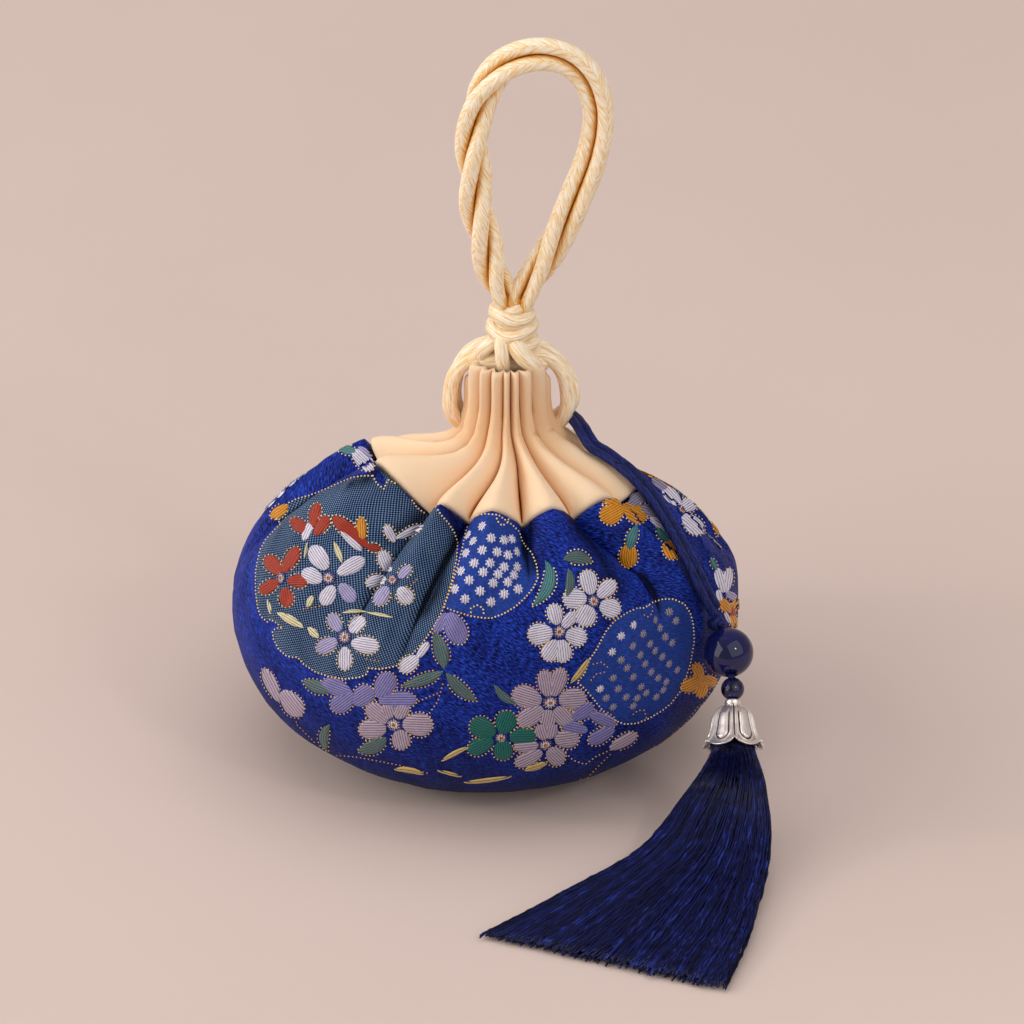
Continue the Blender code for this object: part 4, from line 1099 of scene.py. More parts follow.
for pixel in STARS_MIDDLE:
    cloth_disc(pixel, 1.42, 8, 0.36, "white")
for across, down in STARS_RIGHT:
    # Painted shade: the stars of the right field beyond this line are grey, the lit ones white.
    in_light = across + down * 0.6 < 1015
    cloth_disc((across, down), 1.28, 8, 0.4, "white" if in_light else "grey")
for across, down, reach in FLOWER_CENTRES:
    cloth_disc((across, down), reach * MM_PER_PIXEL * 1.2, 12, 0.15, "middle", 0.12)
    cloth_disc((across, down), reach * MM_PER_PIXEL * 1.05, 13, 0.6, "white", 0.24)
    cloth_disc((across, down), 0.6, 1, 0.0, "ochre", 0.4)
    ring = [Vector((across + reach * 0.62 * math.cos(a), down + reach * 0.62 * math.sin(a)))
            for a in np.linspace(0, 2 * math.pi, 15)]
    gold_spots.append((ring, 3.4, 0.2, "ring", True))

stitches = mesh_from("stitched_flowers", stitch_verts, stitch_faces, stitch_uvs)
for name, colours in (("Thread", stitch_colours), ("Gap", gap_colours)):
    stitches.attributes.new(name, "FLOAT_COLOR", "POINT").data.foreach_set(
        "color", np.asarray(colours, dtype=np.float32).ravel())
floss, tree, shader = new_material("embroidery_silk", 0.42, Specular_IOR_Level=0.3)
place = cloth_map(tree)
line = ribs(tree, place, 0.62, 0.0, 0.6)
fine = streak(tree, place, 0.16, 1.6, 88.0, 2.0)
tone = math_node(tree, "MULTIPLY_ADD", fine, 0.35, line)
thread, gap = attribute(tree, "Thread", "Color"), attribute(tree, "Gap", "Color")
shaded = blend_colour(tree, math_node(tree, "MULTIPLY", fine, 0.4), thread, gap)
paint(tree, shader, blend_colour(tree, map_range(tree, tone, 0.16, 0.42), gap, shaded))
add_bump(tree, shader, line, 0.14)
dress("stitched_flowers", stitches, floss)
print("stitch faces", len(stitch_faces))

# %% [markdown]
# ### Couched gold
# Gold thread is too stiff to sew with, so it is laid on the cloth and caught down by tiny stitches,
# and shows as a row of dots. Each dot is a flattened bead on the cloth. The rows edge the fields and
# the petals, and draw the stems and the small curls.

# %% Gold dots
FIELD_CURLS = [
    [(496, 515), (497, 521), (502, 526), (508, 522), (508, 515)],
    [(471, 616), (471, 608), (477, 605), (483, 608), (484, 616)],
]
FIELD_RIMS = [outline + outline[:1] for outline in (TWILL_FIELD, SPOT_FIELD_MIDDLE, SPOT_FIELD_RIGHT)]
for lines, pitch, size, kind in ((FIELD_RIMS, 3.5, 0.28, "pale"), (FIELD_CURLS, 3.8, 0.29, "pale"),
                                 (GOLD_LINES, 4.0, 0.25, "gold")):
    gold_spots += [([Vector(p) for p in line], pitch, size, kind, True) for line in lines]

bead = bmesh.new()
bmesh.ops.create_icosphere(bead, subdivisions=1, radius=1.0)
bead_verts = [v.co.copy() for v in bead.verts]
bead_faces = [tuple(v.index for v in f.verts) for f in bead.faces]
bead.free()
DOT_TONES = {"pale": 0.0, "warm": 0.6, "gold": 1.0, "ring": 1.0}
DOT_FLATNESS = 0.75
dot_verts, dot_faces, dot_tones = [], [], []
for line, pitch, size, kind, repeated in gold_spots:
    lengths = np.concatenate([[0.0], np.cumsum([(b - a).length for a, b in zip(line, line[1:])])])
    for mark in np.arange(0.0, lengths[-1], pitch):
        pixel = (np.interp(mark, lengths, [p.x for p in line]), np.interp(mark, lengths, [p.y for p in line]))
        for spot, normal in both_sides(pixel)[:2 if repeated else 1]:
            turned = normal.to_track_quat("Z", "Y")
            rise = 0.55 if kind == "ring" else 0.12
            start = len(dot_verts)
            for v in bead_verts:
                place = Vector((v.x * size, v.y * size, v.z * size * DOT_FLATNESS + rise))
                dot_verts.append(spot + turned @ place * MM)
            dot_faces += [tuple(start + k for k in face) for face in bead_faces]
            dot_tones += [DOT_TONES[kind]] * len(bead_verts)
dots = mesh_from("couched_gold", dot_verts, dot_faces)
add_attribute(dots, "Tone", dot_tones)
gold, tree, shader = new_material("gold_thread", 0.42, Metallic=0.25)
tone = math_node(tree, "MULTIPLY", attribute(tree, "Tone"), 0.35)
mixed = math_node(tree, "MULTIPLY_ADD", cloudy(tree, 60.0, 1.0), 0.7, tone)
paint(tree, shader, colour_steps(tree, mixed, [
    (0.25, "F4E0A8"), (0.45, "E8C47E"), (0.7, "CF9A55"), (0.95, "B07F34")]))
dress("couched_gold", dots, gold)
print("gold dots", len(dot_verts) // len(bead_verts))

# %% [markdown]
# ## The pleated collar
# The collar is a tube of plain cream cotton, sewn to the brocade and drawn shut, so it stands in
# plump pleats. It is one sheet, open below where it goes into the bag, with the thickness of its two
# layers. The cloth lets some light through, and its folds are painted honey to dark brown, as painted shade.

# %% Collar
SEAM_MIDDLE = Vector((7.0, 0.0, 76.3)) * MM
COLLAR_THICKNESS = 0.7 * MM
NECK_AXIS = Vector((7.0, 1.0, 0.0)) * MM
NECK_WIDENING = 0.035
NECK_LEAN = 1.15 * MM
WELL_RADIUS = 8.5
WELL_FLOOR = 103.0
collar_mesh = finer_cloth("neck_collar", 2, valley=0.5, hem=0.2, open_at=SEAM_MIDDLE)
for vertex in collar_mesh.vertices:
    rising = ease(90.0, 98.0, vertex.co.z / MM)
    vertex.co.x += ((vertex.co.x - NECK_AXIS.x) * NECK_WIDENING - NECK_LEAN) * rising
    reach = math.hypot(vertex.co.x - NECK_AXIS.x, vertex.co.y - NECK_AXIS.y) / MM
    if rising > 0 and reach < WELL_RADIUS:
        vertex.co.z = min(vertex.co.z, (WELL_FLOOR + 8.0 * (reach / WELL_RADIUS) ** 2) * MM)
# Painted shade: how deep each point lies in a fold darkens the collar's colour, less on the shoulder round 94 mm.
heights = vertex_points(collar_mesh)[:, 2] / MM
shoulder = np.clip(1 - ((heights - 94.0) / 8.0) ** 2, 0.0, 1.0)
folds = fold_depth(collar_mesh, 9)
add_attribute(collar_mesh, "FoldShade", np.where(folds > 0, np.maximum(0.0, folds - 0.45 * shoulder), folds))
cloth_uvs(collar_mesh)

cotton, tree, shader = new_material("cream_cotton", 0.75, Specular_IOR_Level=0.25)
shader.inputs["Subsurface Weight"].default_value = 0.18
shader.inputs["Subsurface Radius"].default_value = (3.0, 1.6, 0.7)
shader.inputs["Subsurface Scale"].default_value = 1.0 * MM
place = cloth_map(tree)
warp = ribs(tree, place, 0.55, 0.0, 0.4)
# Painted shade: the fold depth turns the cream towards honey and dark brown.
depth = math_node(tree, "MULTIPLY_ADD", warp, 0.02, attribute(tree, "FoldShade"))
depth = math_node(tree, "MULTIPLY_ADD", cloudy(tree, 0.12, 4.0, place), 0.12, depth)
paint(tree, shader, colour_steps(tree, math_node(tree, "MULTIPLY_ADD", depth, 0.5, 0.4), [
    (0.2, "F3D4B4"), (0.44, "EDC59C"), (0.58, "C98442"), (0.82, "55290B")]))
add_bump(tree, shader, warp, 0.02)

collar = dress("pleated_collar", collar_mesh, cotton, replaces=("neck_collar",))
wall = collar.modifiers.new("two layers", "SOLIDIFY")
wall.thickness = COLLAR_THICKNESS
wall.offset = -1.0

# %% [markdown]
# ## The knot under the loop
# The loop's ends are wound round the draw cords and pulled tight, so the knot is a stack of cord
# turns pressed flat against each other. Every turn is a closed tube on a slanted ring, and a plump
# heart inside keeps the gaps from showing light. Its long filaments shine in streaks along the turns.

# %% Knot turns
KNOT_MIDDLE = Vector((7.0, 0.0, 122.7)) * MM
KNOT_STEPS = 90
KNOT_SIDES = 28


def knot_turn(height, reach, tall, thick, slant, dip, shift):
    """One turn of the knot in mm: height, radius, cord section, slant to the right and dip in front."""
    route = []
    for i in range(KNOT_STEPS):
        turn = 2 * math.pi * (i / KNOT_STEPS + 0.5)
        front = max(0.0, math.cos(turn)) ** 3
        rise = height + slant * reach * math.sin(turn) - dip * front + 0.25 * math.sin(3 * turn + height)
        place = Vector((shift + reach * math.sin(turn), -reach * 0.93 * math.cos(turn), rise))
        route.append(KNOT_MIDDLE + place * MM)
    verts, uvs = [], []
    for i, place in enumerate(route):
        ahead = (route[(i + 1) % KNOT_STEPS] - route[i - 1]).normalized()
        outward = Vector((place.x - KNOT_MIDDLE.x - shift * MM, place.y, 0.0)).normalized()
        upward = outward.cross(ahead).normalized()
        upward = upward if upward.z > 0 else -upward
        for k in range(KNOT_SIDES):
            turn = 2 * math.pi * k / KNOT_SIDES
            strand = 1 - 0.035 * (1 - math.cos(7 * turn + i * 0.2 * math.pi / 9))
            section = outward * math.cos(turn) * thick + upward * math.sin(turn) * tall
            verts.append(place + section * strand * MM)
            uvs.append((turn * (tall + thick) / 2, 2 * math.pi * i / KNOT_STEPS * reach))
    return verts, ring_faces(KNOT_STEPS, KNOT_SIDES, closed=True), uvs


KNOT_TURNS = [
    (5.5, 2.3, 1.9, 1.9, 0.05, 0.0, 0.0),
    (3.9, 4.3, 2.3, 1.9, -0.13, 0.4, 0.0),
    (0.4, 4.8, 2.4, 2.1, 0.12, 1.4, 0.0),
    (-3.2, 4.3, 2.2, 2.0, -0.2, 0.4, 0.9),
    (-5.2, 2.8, 2.0, 1.9, 0.1, 0.0, 0.0),
    (0.0, 1.6, 5.4, 3.4, 0.0, 0.0, 0.0),
]
KNOT_TAILS = [
    ([(4.9, -1.0, 123.0), (4.4, -4.6, 121.0), (4.5, -5.6, 117.4), (4.9, -4.4, 113.6), (5.4, -2.0, 109.0)], 1.9),
    ([(6.6, -1.0, 122.6), (7.9, -4.6, 120.2), (9.8, -5.7, 117.4), (11.9, -4.6, 114.4), (12.2, -1.6, 109.6)], 2.5),
    ([(6.0, -0.4, 121.0), (2.6, -2.0, 119.6), (-0.2, -1.6, 117.2), (-0.4, 0.2, 114.0), (1.6, 1.6, 110.0)], 2.0),
    ([(-2.5, 1.4, 112.4), (3.0, -1.0, 113.4), (9.5, -1.4, 113.2), (15.4, 1.2, 112.2)], 2.6),
    ([(7.0, 1.0, 121.0), (3.2, 1.5, 115.6), (2.4, 0.5, 107.0)], 2.5),
    ([(7.0, 1.0, 121.0), (8.0, -0.6, 115.0), (8.0, -0.8, 107.0)], 2.8),
    ([(7.5, 1.0, 121.0), (11.6, 1.8, 116.2), (13.2, 1.6, 108.0)], 2.5),
    ([(7.0, 2.0, 121.0), (0.2, 3.0, 114.4), (-1.6, 3.0, 108.0)], 2.4),
]

def knot_tail(table, size):
    """One open strand of the knot, from its route in mm and its radius in mm."""
    route = smooth_route([Vector(p) * MM for p in table], RING_STEP)
    tail = sweep("tail", route, size * MM, ply_relief(22 * MM, 5, 0.06))
    corner_uvs = {loop.vertex_index: tuple(tail.uv_layers[0].data[loop.index].uv) for loop in tail.loops}
    parts = ([vertex.co.copy() for vertex in tail.vertices], [tuple(face.vertices) for face in tail.polygons],
             [corner_uvs[number] for number in range(len(tail.vertices))])
    bpy.data.meshes.remove(tail)
    return parts


verts, faces, uvs = [], [], []
for new_verts, new_faces, new_uvs in ([knot_turn(*turn) for turn in KNOT_TURNS]
                                      + [knot_tail(*tail) for tail in KNOT_TAILS]):
    faces += [tuple(v + len(verts) for v in face) for face in new_faces]
    verts += new_verts
    uvs += new_uvs
dress("wound_knot", mesh_from("wound_knot", verts, faces, uvs), satin_floss,
      replaces=("cord_knot",))
print("knot turns", len(KNOT_TURNS))

# %% [markdown]
# ## The stop knot
# A small knot in the doubled navy cord keeps the beads from sliding up. Its cord winds twice round
# while it passes three times through the middle, as in a tight overhand knot.

# %% Stop knot
STOP_KNOT_MIDDLE = Vector((59.86, -29.22, 51.75)) * MM
STOP_KNOT_AXIS = Vector((2.84, -7.08, -4.45)).normalized()
side = STOP_KNOT_AXIS.orthogonal().normalized()
up = STOP_KNOT_AXIS.cross(side)
route = []
for i in range(160):
    turn = 2 * math.pi * i / 160
    reach = (1.12 + 0.5 * math.cos(3 * turn)) * MM
    across = side * math.cos(2 * turn) + up * math.sin(2 * turn)
    route.append(STOP_KNOT_MIDDLE + across * reach + STOP_KNOT_AXIS * 0.75 * MM * math.sin(3 * turn))
dress("navy_stop_knot",
      sweep("navy_stop_knot", route, 0.98 * MM, ply_relief(3.0 * MM, 3, 0.1), around=16, closed=True),
      navy_cord, replaces=("tassel_stop_knot",))

# %% [markdown]
# ## The beads
# Both beads are round, polished, dark blue lacquer, drilled for the cord. A ball primitive has its two
# poles cut away, the rims are bridged into a bore, and the edge of the hole is softened by a bevel.

# %% Beads
LARGE_BEAD_CENTRE = Vector((62.7, -36.3, 47.3)) * MM
LARGE_BEAD_AXIS = Vector((0.093, -0.711, -0.696)).normalized()
CAP_TILT = math.radians(44.0)
CAP_AXIS = Vector((0.0, -math.sin(CAP_TILT), -math.cos(CAP_TILT)))
LARGE_BEAD_RADIUS = 6.4 * MM
SMALL_BEAD_RADIUS = 3.0 * MM
BORE_RADIUS = 1.4 * MM
BEAD_GAP = 0.3 * MM
SMALL_BEAD_CENTRE = LARGE_BEAD_CENTRE + LARGE_BEAD_AXIS * (LARGE_BEAD_RADIUS + SMALL_BEAD_RADIUS + BEAD_GAP)


def start_edit(piece):
    bpy.context.view_layer.objects.active = piece
    bpy.ops.object.mode_set(mode="EDIT")
    bpy.ops.mesh.select_all(action="DESELECT")
    bpy.ops.object.mode_set(mode="OBJECT")


def bored_ball(name, centre, axis, radius, segments, rings):
    bpy.ops.object.select_all(action="DESELECT")
    bpy.ops.mesh.primitive_uv_sphere_add(segments=segments, ring_count=rings, radius=radius)
    ball = bpy.context.object
    ball.name = name
    start_edit(ball)
    for vertex in ball.data.vertices:
        vertex.select = math.hypot(vertex.co.x, vertex.co.y) < BORE_RADIUS
    bpy.ops.object.mode_set(mode="EDIT")
    bpy.ops.mesh.delete(type="VERT")
    bpy.ops.mesh.select_all(action="DESELECT")
    bpy.ops.mesh.select_non_manifold(extend=False)
    bpy.ops.mesh.bridge_edge_loops()
    bpy.ops.object.mode_set(mode="OBJECT")
    rim = ball.modifiers.new("soft rim", "BEVEL")
    rim.width = 0.18 * MM
    rim.segments = 3
    rim.angle_limit = math.radians(35)
    bpy.ops.object.modifier_apply(modifier=rim.name)
    ball.data.transform(Matrix.Translation(centre) @ axis.to_track_quat("Z", "Y").to_matrix().to_4x4())
    ball.data.shade_smooth()
    return ball


def place_piece(piece, material, body, node):
    piece.data.materials.clear()
    piece.data.materials.append(material)
    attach(piece, body)
    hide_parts(node)
    print(piece.name, "faces", len(piece.data.polygons))


def polished(name, roughness, coat_roughness, scale, detail, steps):
    """Clouded colour under a clear coat."""
    material, tree, shader = new_material(name, roughness, Specular_IOR_Level=0.0, Coat_Weight=1.0,
                                          Coat_Roughness=coat_roughness)
    paint(tree, shader, colour_steps(tree, cloudy(tree, scale, detail), steps))
    return material


lacquer = polished("navy_lacquer", 0.4, 0.04, 220.0, 3.0, [(0.35, "070A34"), (0.65, "0F1450")])
large_bead = bored_ball("navy_bead", LARGE_BEAD_CENTRE, LARGE_BEAD_AXIS, LARGE_BEAD_RADIUS, 72, 48)
place_piece(large_bead, lacquer, "large_bead", "large_bead")

glass = polished("midnight_glass", 0.3, 0.02, 420.0, 2.0, [(0.4, "06071F"), (0.7, "1A1D52")])
small_bead = bored_ball("dark_spacer_bead", SMALL_BEAD_CENTRE, CAP_AXIS, SMALL_BEAD_RADIUS, 48, 32)
place_piece(small_bead, glass, "small_bead", "small_bead")

# %% [markdown]
# ## The silver petal cap
# The cap is a cast bell with six petals. Each petal has a raised rim, and inside it a raised tongue
# with a round end, with narrow sunk lines between that hold black patina. The bell starts as a spun
# profile, with its wall, and the petals are then pressed into it, as a die would do.

# %% Cap by spinning
CAP_LENGTH = 12.8
CAP_PETALS = 6
CAP_STEPS = 288
CAP_OUTSIDE = [
    (1.95, 0.0), (2.12, 0.35), (2.1, 0.9), (1.95, 1.3), (2.7, 1.65), (3.6, 2.25), (4.35, 3.05), (4.85, 3.9),
    (5.15, 4.9), (5.4, 6.0), (5.65, 7.2), (5.95, 8.4), (6.25, 9.6), (6.6, 10.8), (7.0, 11.9), (7.5, 12.8),
]
CAP_WALL = 0.7
seat = math.sqrt(SMALL_BEAD_RADIUS ** 2 - BORE_RADIUS ** 2)
CAP_TOP = SMALL_BEAD_CENTRE + CAP_AXIS * (seat + BEAD_GAP)


def spaced(profile, spacing):
    """A profile with points at most a given distance apart."""
    fine = [profile[0]]
    for (r0, h0), (r1, h1) in zip(profile, profile[1:]):
        parts = max(1, math.ceil(math.hypot(r1 - r0, h1 - h0) / spacing))
        fine += [(r0 + (r1 - r0) * s / parts, h0 + (h1 - h0) * s / parts) for s in range(1, parts + 1)]
    return fine


outside = spaced(CAP_OUTSIDE, 0.22)
inside = [(max(1.42, r - CAP_WALL), h) for r, h in spaced(CAP_OUTSIDE, 0.8) if h > 0.8]
wall = outside + inside[::-1] + [(1.42, 0.05)]
line = bpy.data.meshes.new("cap_line")
line.from_pydata([(r, 0.0, -h) for r, h in wall], [(i, (i + 1) % len(wall)) for i in range(len(wall))], [])
cap = bpy.data.objects.new("silver_petal_cap", line)
bpy.context.scene.collection.objects.link(cap)
bpy.ops.object.select_all(action="DESELECT")
cap.select_set(True)
bpy.context.view_layer.objects.active = cap
bpy.ops.object.mode_set(mode="EDIT")
bpy.ops.mesh.select_all(action="SELECT")
bpy.ops.mesh.spin(steps=CAP_STEPS, angle=2 * math.pi, center=(0, 0, 0), axis=(0, 0, 1))
bpy.ops.mesh.select_all(action="SELECT")
bpy.ops.mesh.remove_doubles(threshold=0.001)
bpy.ops.mesh.normals_make_consistent(inside=False)
bpy.ops.object.mode_set(mode="OBJECT")
print("spun cap faces", len(cap.data.polygons))

# %% [markdown]
# ### Pressing the petals
# Each point of the spun bell is moved in or out by where it lies on its petal, measured across from the
# petal's middle line and down from the top. Sunk points are also marked, so that patina can fill them.

# %% Cap petals
PETAL_END = 9.2
RIM_INSET = 0.42
TONGUE_SHARE = 0.6
GROOVE_INSET = 0.2
NOTCH_DEPTH = 1.9
def bump_at(value, middle, half):
    """A rounded ridge: 1 at the middle, 0 beyond the half width."""
    share = min(1.0, abs(value - middle) / half)
    return (1 - share * share) ** 2


places = vertex_points(cap.data)
groove = np.zeros(len(places))
shaped = []
profile_radius = np.array([r for r, h in outside])
profile_height = np.array([h for r, h in outside])
for i, (x, y, z) in enumerate(places):
    reach, down = math.hypot(x, y), -z
    turn = math.atan2(x, y)
    spot = (turn * CAP_PETALS / (2 * math.pi)) % 1.0
    petal = 2 * spot - 1
    outer = reach > np.interp(down, profile_height, profile_radius) - CAP_WALL * 0.5 and down > 1.25
    half_width = math.pi * reach / CAP_PETALS
    across = abs(petal) * half_width
    press = 0.0
    if outer:
        tongue = math.hypot(across, max(0.0, down - PETAL_END))
        tongue_half = TONGUE_SHARE * half_width
        tongue_start = ease(3.0, 4.2, down)
        strength = ease(1.3, 2.6, down)
        rim = bump_at(half_width - across, RIM_INSET, 0.4) * 0.42
        second = bump_at(tongue, tongue_half + 0.28, 0.3) * 0.22
        fill = 0.34 * (1 - ease(tongue_half - 0.75, tongue_half - 0.4, tongue)) * tongue_start
        joint = bump_at(across, half_width, 0.22)
        line_round = bump_at(tongue, tongue_half - GROOVE_INSET, 0.26) * tongue_start
        lip = bump_at(down, CAP_LENGTH - 0.35, 0.75) * 0.3
        press = (max(rim, second, fill) + lip - 0.3 * joint - 0.2 * line_round) * strength
        hollow = 0.3 * (1 - ease(0.02, 0.2, press))
        groove[i] = min(1.0, max(joint, hollow * strength, line_round))
        if down > CAP_LENGTH - 0.9:
            groove[i] *= 0.3
    notch = 1 - abs(math.sin(turn * CAP_PETALS / 2)) ** 0.62
    pull = NOTCH_DEPTH * notch * ease(6.0, CAP_LENGTH, down)
    flare = 1 + 0.05 * (1 - notch) * ease(10.5, CAP_LENGTH, down)
    size = (reach + press) * flare
    shaped.append((math.sin(turn) * size, math.cos(turn) * size, z + pull))
cap.data.vertices.foreach_set("co", (np.array(shaped) * MM).ravel())
add_attribute(cap.data, "Groove", groove)
right = Vector((1.0, 0.0, 0.0))
upright = right.cross(CAP_AXIS).normalized()
turned = Matrix((right, upright, -CAP_AXIS)).transposed().to_4x4()
cap.data.transform(Matrix.Translation(CAP_TOP) @ turned)
cap.data.shade_smooth()

silver, tree, shader = new_material("antique_silver", 0.3, Metallic=0.84)
stain = cloudy(tree, 900.0, 4.0)
worn = math_node(tree, "MULTIPLY_ADD", stain, 0.5, math_node(tree, "SUBTRACT", attribute(tree, "Groove"), 0.22))
paint(tree, shader, colour_steps(tree, worn, [(0.2, "F2EBE8"), (0.5, "B5AAA6"), (0.68, "3A3134"), (0.9, "141018")]))
rough = map_range(tree, worn, 0.0, 1.0, to_min=0.28, to_max=0.6)
tree.links.new(rough, shader.inputs["Roughness"])
add_bump(tree, shader, stain, 0.03)
place_piece(cap, silver, "cap", "tassel_cap")

# %% [markdown]
# ### What holds the tassel
# The cord goes on through both beads into the cap, where the tassel's head is bound with a few turns
# of thread. Almost nothing of either can be seen, but they are there when the cap turns.

# %% Core and binding
core = [LARGE_BEAD_CENTRE - LARGE_BEAD_AXIS * 6.7 * MM, LARGE_BEAD_CENTRE + LARGE_BEAD_AXIS * 5.4 * MM,
        SMALL_BEAD_CENTRE - CAP_AXIS * 2.0 * MM, CAP_TOP + CAP_AXIS * 3.9 * MM]
core_route = [a.lerp(b, s / 12) for a, b in zip(core, core[1:]) for s in range(12)] + [core[-1]]
dress("cord_through_beads",
      sweep("cord_through_beads", core_route, 1.0 * MM, ply_relief(2.0 * MM, 3, 0.14), around=14),
      navy_cord, replaces=("tassel_core",))
across, away = right, -upright
BINDING_TURNS = 6
TURN_STEPS = 40
winding = []
for i in range(BINDING_TURNS * TURN_STEPS + 1):
    turn = 2 * math.pi * i / TURN_STEPS
    winding.append(CAP_TOP + CAP_AXIS * (4.9 + 2.0 * i / (BINDING_TURNS * TURN_STEPS)) * MM
                   + (across * math.cos(turn) + away * math.sin(turn)) * 3.5 * MM)
dress("head_binding", sweep("head_binding", winding, 0.24 * MM, lambda turn, along: 1.0, around=8),
      navy_cord, replaces=("tassel_binding",))

# %% [markdown]
# ## The silk tassel
# The skirt is several hundred thin twisted silk threads. They fall from the cap, bend where they meet
# the table and lie fanned out, with a ragged cut edge. Each thread is its own thin tube with a slight
# crinkle, because silk keeps the kinks of the hank it came from. A dark bundle under them is the
# depth of the tassel, where single threads can't be told apart.

# %% Tassel threads
SKIRT_STATIONS = [
    ((55.4, -49.6, 18.6), (71.9, -54.2, 18.6), 5.0),
    ((49.3, -53.2, 10.6), (73.2, -62.0, 10.6), 4.4),
    ((38.8, -65.4, 4.9), (71.6, -76.6, 4.9), 3.4),
    ((19.2, -81.0, 2.6), (66.6, -98.5, 2.6), 2.3),
    ((-1.0, -96.8, 1.3), (59.5, -120.1, 1.3), 1.2),
]
SKIRT_HEAD = [(5.2, 2.7), (7.4, 2.8), (9.0, 3.7), (11.0, 4.7), (13.6, 5.5)]
THREAD_RADIUS = 0.27 * MM
THREAD_SIDES = 5
TOP_THREADS = 460
UNDER_THREADS = 300
THREAD_POINTS = 42


def bundle_frames():
    """Middle, half width and half thickness of the bundle at each station, from the head down."""
    frames = []
    for along, radius in SKIRT_HEAD:
        frames.append((CAP_TOP + CAP_AXIS * along * MM, across * radius * MM, away * radius * MM))
    for left, right_edge, half in SKIRT_STATIONS:
        a, b = Vector(left) * MM, Vector(right_edge) * MM
        middle = (a + b) / 2
        lean = 1 - ease(5.0, 25.0, middle.z / MM)
        frames.append((middle, (b - a) / 2, away.lerp(Vector((0, 0, 1)), lean).normalized() * half * MM))
    return frames


frames = bundle_frames()


def thread_route(sideways, height, rng, finish):
    """One thread by its place in the bundle: sideways and height from -1 to 1."""
    points = []
    for number, (middle, reach, rise) in enumerate(frames):
        drift = 0.05 * rng.uniform(-1, 1) * min(1.0, number / 6)
        points.append(middle + reach * max(-1.0, min(1.0, sideways + drift)) + rise * height)
    last, before = points[-1], points[-2]
    points[-1] = before + (last - before) * finish
    line = smooth_route(points, route_length(points) / THREAD_POINTS)
    phase, swing = rng.uniform(0, 6.28), rng.uniform(0.08, 0.3) * MM
    pitch = rng.uniform(4.5, 9.0) * MM
    kinked, travelled = [], 0.0
    for i, place in enumerate(line):
        if i:
            travelled += (place - line[i - 1]).length
        wave = math.sin(2 * math.pi * travelled / pitch + phase) * swing * ease(0.25, 0.5, i / len(line))
        lift = math.sin(2 * math.pi * travelled / (pitch * 0.7) + 2 * phase) * swing * 0.6
        placed = place + across * wave + Vector((0, 0, lift))
        placed.z = max(placed.z, 0.35 * MM)
        kinked.append(placed)
    return kinked


def thread_bundle(name, places, seed, material):
    rng = random.Random(seed)
    verts, faces, tones = [], [], []
    for sideways, height in places:
        finish = rng.uniform(0.9, 1.0) if rng.random() < 0.9 else rng.uniform(0.8, 1.05)
        line = thread_route(sideways, height, rng, finish)
        tone = rng.uniform(0.0, 1.0)
        start = len(verts)
        for i, place in enumerate(line):
            ahead = (line[min(i + 1, len(line) - 1)] - line[max(i - 1, 0)]).normalized()
            side = ahead.cross(Vector((0.13, 0.21, 1.0))).normalized()
            up = side.cross(ahead)
            for k in range(THREAD_SIDES):
                turn = 2 * math.pi * k / THREAD_SIDES + i * 0.5
                verts.append(place + (side * math.cos(turn) + up * math.sin(turn)) * THREAD_RADIUS)
                tones.append(tone)
        faces += ring_faces(len(line), THREAD_SIDES, start) + end_faces(len(line), THREAD_SIDES, start)
    mesh = mesh_from(name, verts, faces)
    add_attribute(mesh, "Tone", tones)
    return dress(name, mesh, material)


silk, tree, shader = new_material("navy_silk_thread", 0.4, Specular_IOR_Level=0.22)
tone = math_node(tree, "MULTIPLY", attribute(tree, "Tone"), 0.55)
mixed = math_node(tree, "MULTIPLY_ADD", cloudy(tree, 320.0, 2.0), 0.6, tone)
paint(tree, shader, colour_steps(tree, mixed, [(0.2, "040620"), (0.5, "0A1038"), (0.78, "131C58"), (0.98, "2A3FA4")]))

rng = random.Random(7)
upper, lower = [], []
for i in range(TOP_THREADS):
    sideways = -1 + 2 * (i + rng.uniform(0.1, 0.9)) / TOP_THREADS
    sideways = math.copysign(abs(sideways) ** 0.94, sideways)
    rim = math.sqrt(max(0.0, 1 - sideways * sideways))
    upper.append((sideways * 0.985, rim * rng.uniform(0.62, 0.96)))
for i in range(UNDER_THREADS):
    sideways = rng.uniform(-0.97, 0.97)
    rim = math.sqrt(max(0.0, 1 - sideways * sideways))
    lower.append((sideways, rim * rng.uniform(-0.7, 0.55)))
top_threads = thread_bundle("silk_threads_top", upper, 11, silk)
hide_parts("tassel_skirt")
thread_bundle("silk_threads_under", lower, 12, silk)
print("threads", len(upper) + len(lower))

# %% [markdown]
# ### The heart of the bundle
# Between the threads only darkness shows. A plain dark body, smaller than the bundle and following the
# same stations, stands for the threads that are never seen.

# %% The dark heart of the bundle
HEART_SIDES = 32
HEART_WIDTH = 0.78
HEART_HEIGHT = 0.4
shadow_silk, tree, shader = new_material("deep_silk_shadow", 0.8)
shader.inputs["Base Color"].default_value = linear("070B2A")
verts = []
for middle, reach, rise in frames[:-1] + [tuple(a.lerp(b, 0.8) for a, b in zip(frames[-2], frames[-1]))]:
    for k in range(HEART_SIDES):
        turn = 2 * math.pi * k / HEART_SIDES
        place = middle + reach * HEART_WIDTH * math.sin(turn) + rise * HEART_HEIGHT * math.cos(turn)
        place.z = max(place.z, 0.3 * MM)
        verts.append(place)
faces = ring_faces(len(frames), HEART_SIDES) + end_faces(len(frames), HEART_SIDES)
dress("silk_heart", mesh_from("silk_heart", verts, faces), shadow_silk)
print("tassel dressed")

# %% [markdown]
# ## Floor and light
# The pouch stands on a pale pinkish paper sweep in a small studio. A large soft box stands at the
# upper left, a second, weaker one at the right, and the paper itself gives back the rest.

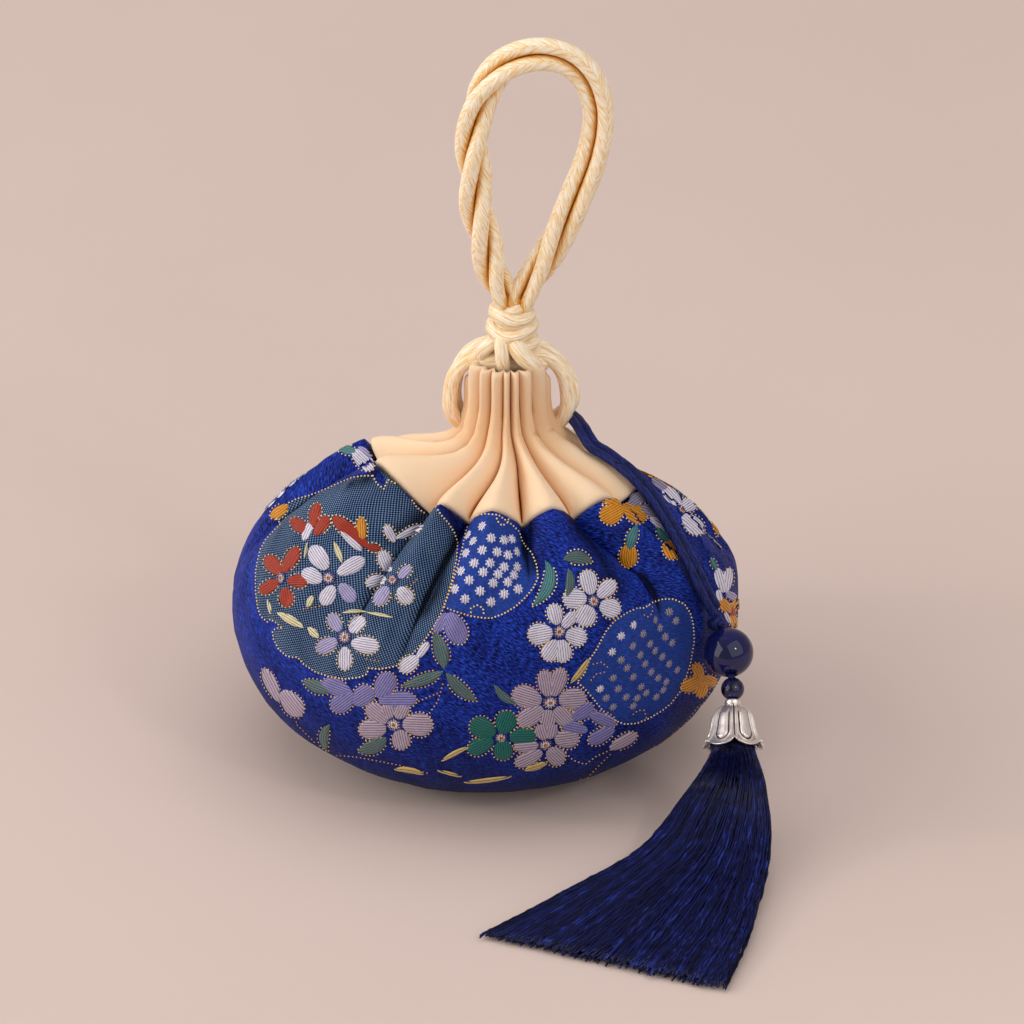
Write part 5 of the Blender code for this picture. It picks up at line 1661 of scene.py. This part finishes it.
# %% Floor
bpy.ops.object.select_all(action="DESELECT")
bpy.ops.mesh.primitive_plane_add(size=3.2, location=(0, 0.6, 0))
sweep_paper = bpy.context.object
sweep_paper.name = "paper_sweep"
start_edit(sweep_paper)
for edge in sweep_paper.data.edges:
    edge.select = all(sweep_paper.data.vertices[v].co.y > 1.0 for v in edge.vertices)
bpy.ops.object.mode_set(mode="EDIT")
bpy.ops.mesh.extrude_region_move(TRANSFORM_OT_translate={"value": (0, 0, 2.0)})
bpy.ops.mesh.select_all(action="SELECT")
bpy.ops.object.mode_set(mode="OBJECT")
bend = sweep_paper.modifiers.new("curve", "BEVEL")
bend.width = 0.8
bend.segments = 24
bend.angle_limit = math.radians(40)
paper, tree, shader = new_material("pale_paper", 0.85)
paint(tree, shader, colour_steps(tree, cloudy(tree, 6.0, 3.0), [(0.3, "D0BFB9"), (0.7, "D3C2BC")]))
sweep_paper.data.materials.append(paper)
sweep_paper.data.shade_smooth()
print("paper sweep laid")

# %% [markdown]
# ### The lamps
# Every lamp is a soft rectangle that faces the pouch. The key box and the front box each have a small bright tube in
# them, which shows in the beads as a point of light. The box above only fills in, so polished pieces don't mirror it.

# %% Lamps
def soft_box(name, place, aim, size, watts, code="FFFFFF"):
    lamp = bpy.data.lights.new(name, "AREA")
    lamp.shape = "RECTANGLE"
    lamp.size, lamp.size_y = size
    lamp.energy = watts
    lamp.color = linear(code)[:3]
    stand = bpy.data.objects.new(name, lamp)
    bpy.context.scene.collection.objects.link(stand)
    stand.location = place
    stand.rotation_euler = (Vector(aim) - Vector(place)).to_track_quat("-Z", "Y").to_euler()


soft_box("key_box", (-1.8, -0.28, 0.86), (0, 0, 0.06), (2.9, 1.9), 32.0, "FFF8F0")
soft_box("key_tube", (-1.7, -0.26, 0.81), (0, 0, 0.06), (0.22, 0.22), 3.5, "FFF8F0")
soft_box("front_box", (1.0, -1.1, 1.34), (0, 0, 0.06), (2.4, 2.4), 14.5, "FFFAF5")
soft_box("front_tube", (0.95, -1.04, 1.27), (0, 0, 0.06), (0.2, 0.2), 2.4, "FFFAF5")
soft_box("top_box", (-0.1, 0.3, 2.4), (0, 0, 0.05), (2.4, 2.0), 16.6)
bpy.data.objects["top_box"].visible_glossy = False
world = bpy.data.worlds.new("studio")
world.use_nodes = True
world.node_tree.nodes["Background"].inputs["Color"].default_value = linear("EFE4DE")
world.node_tree.nodes["Background"].inputs["Strength"].default_value = 0.42
bpy.context.scene.world = world
bpy.context.scene.view_settings.view_transform = "Standard"
print("stage lit")
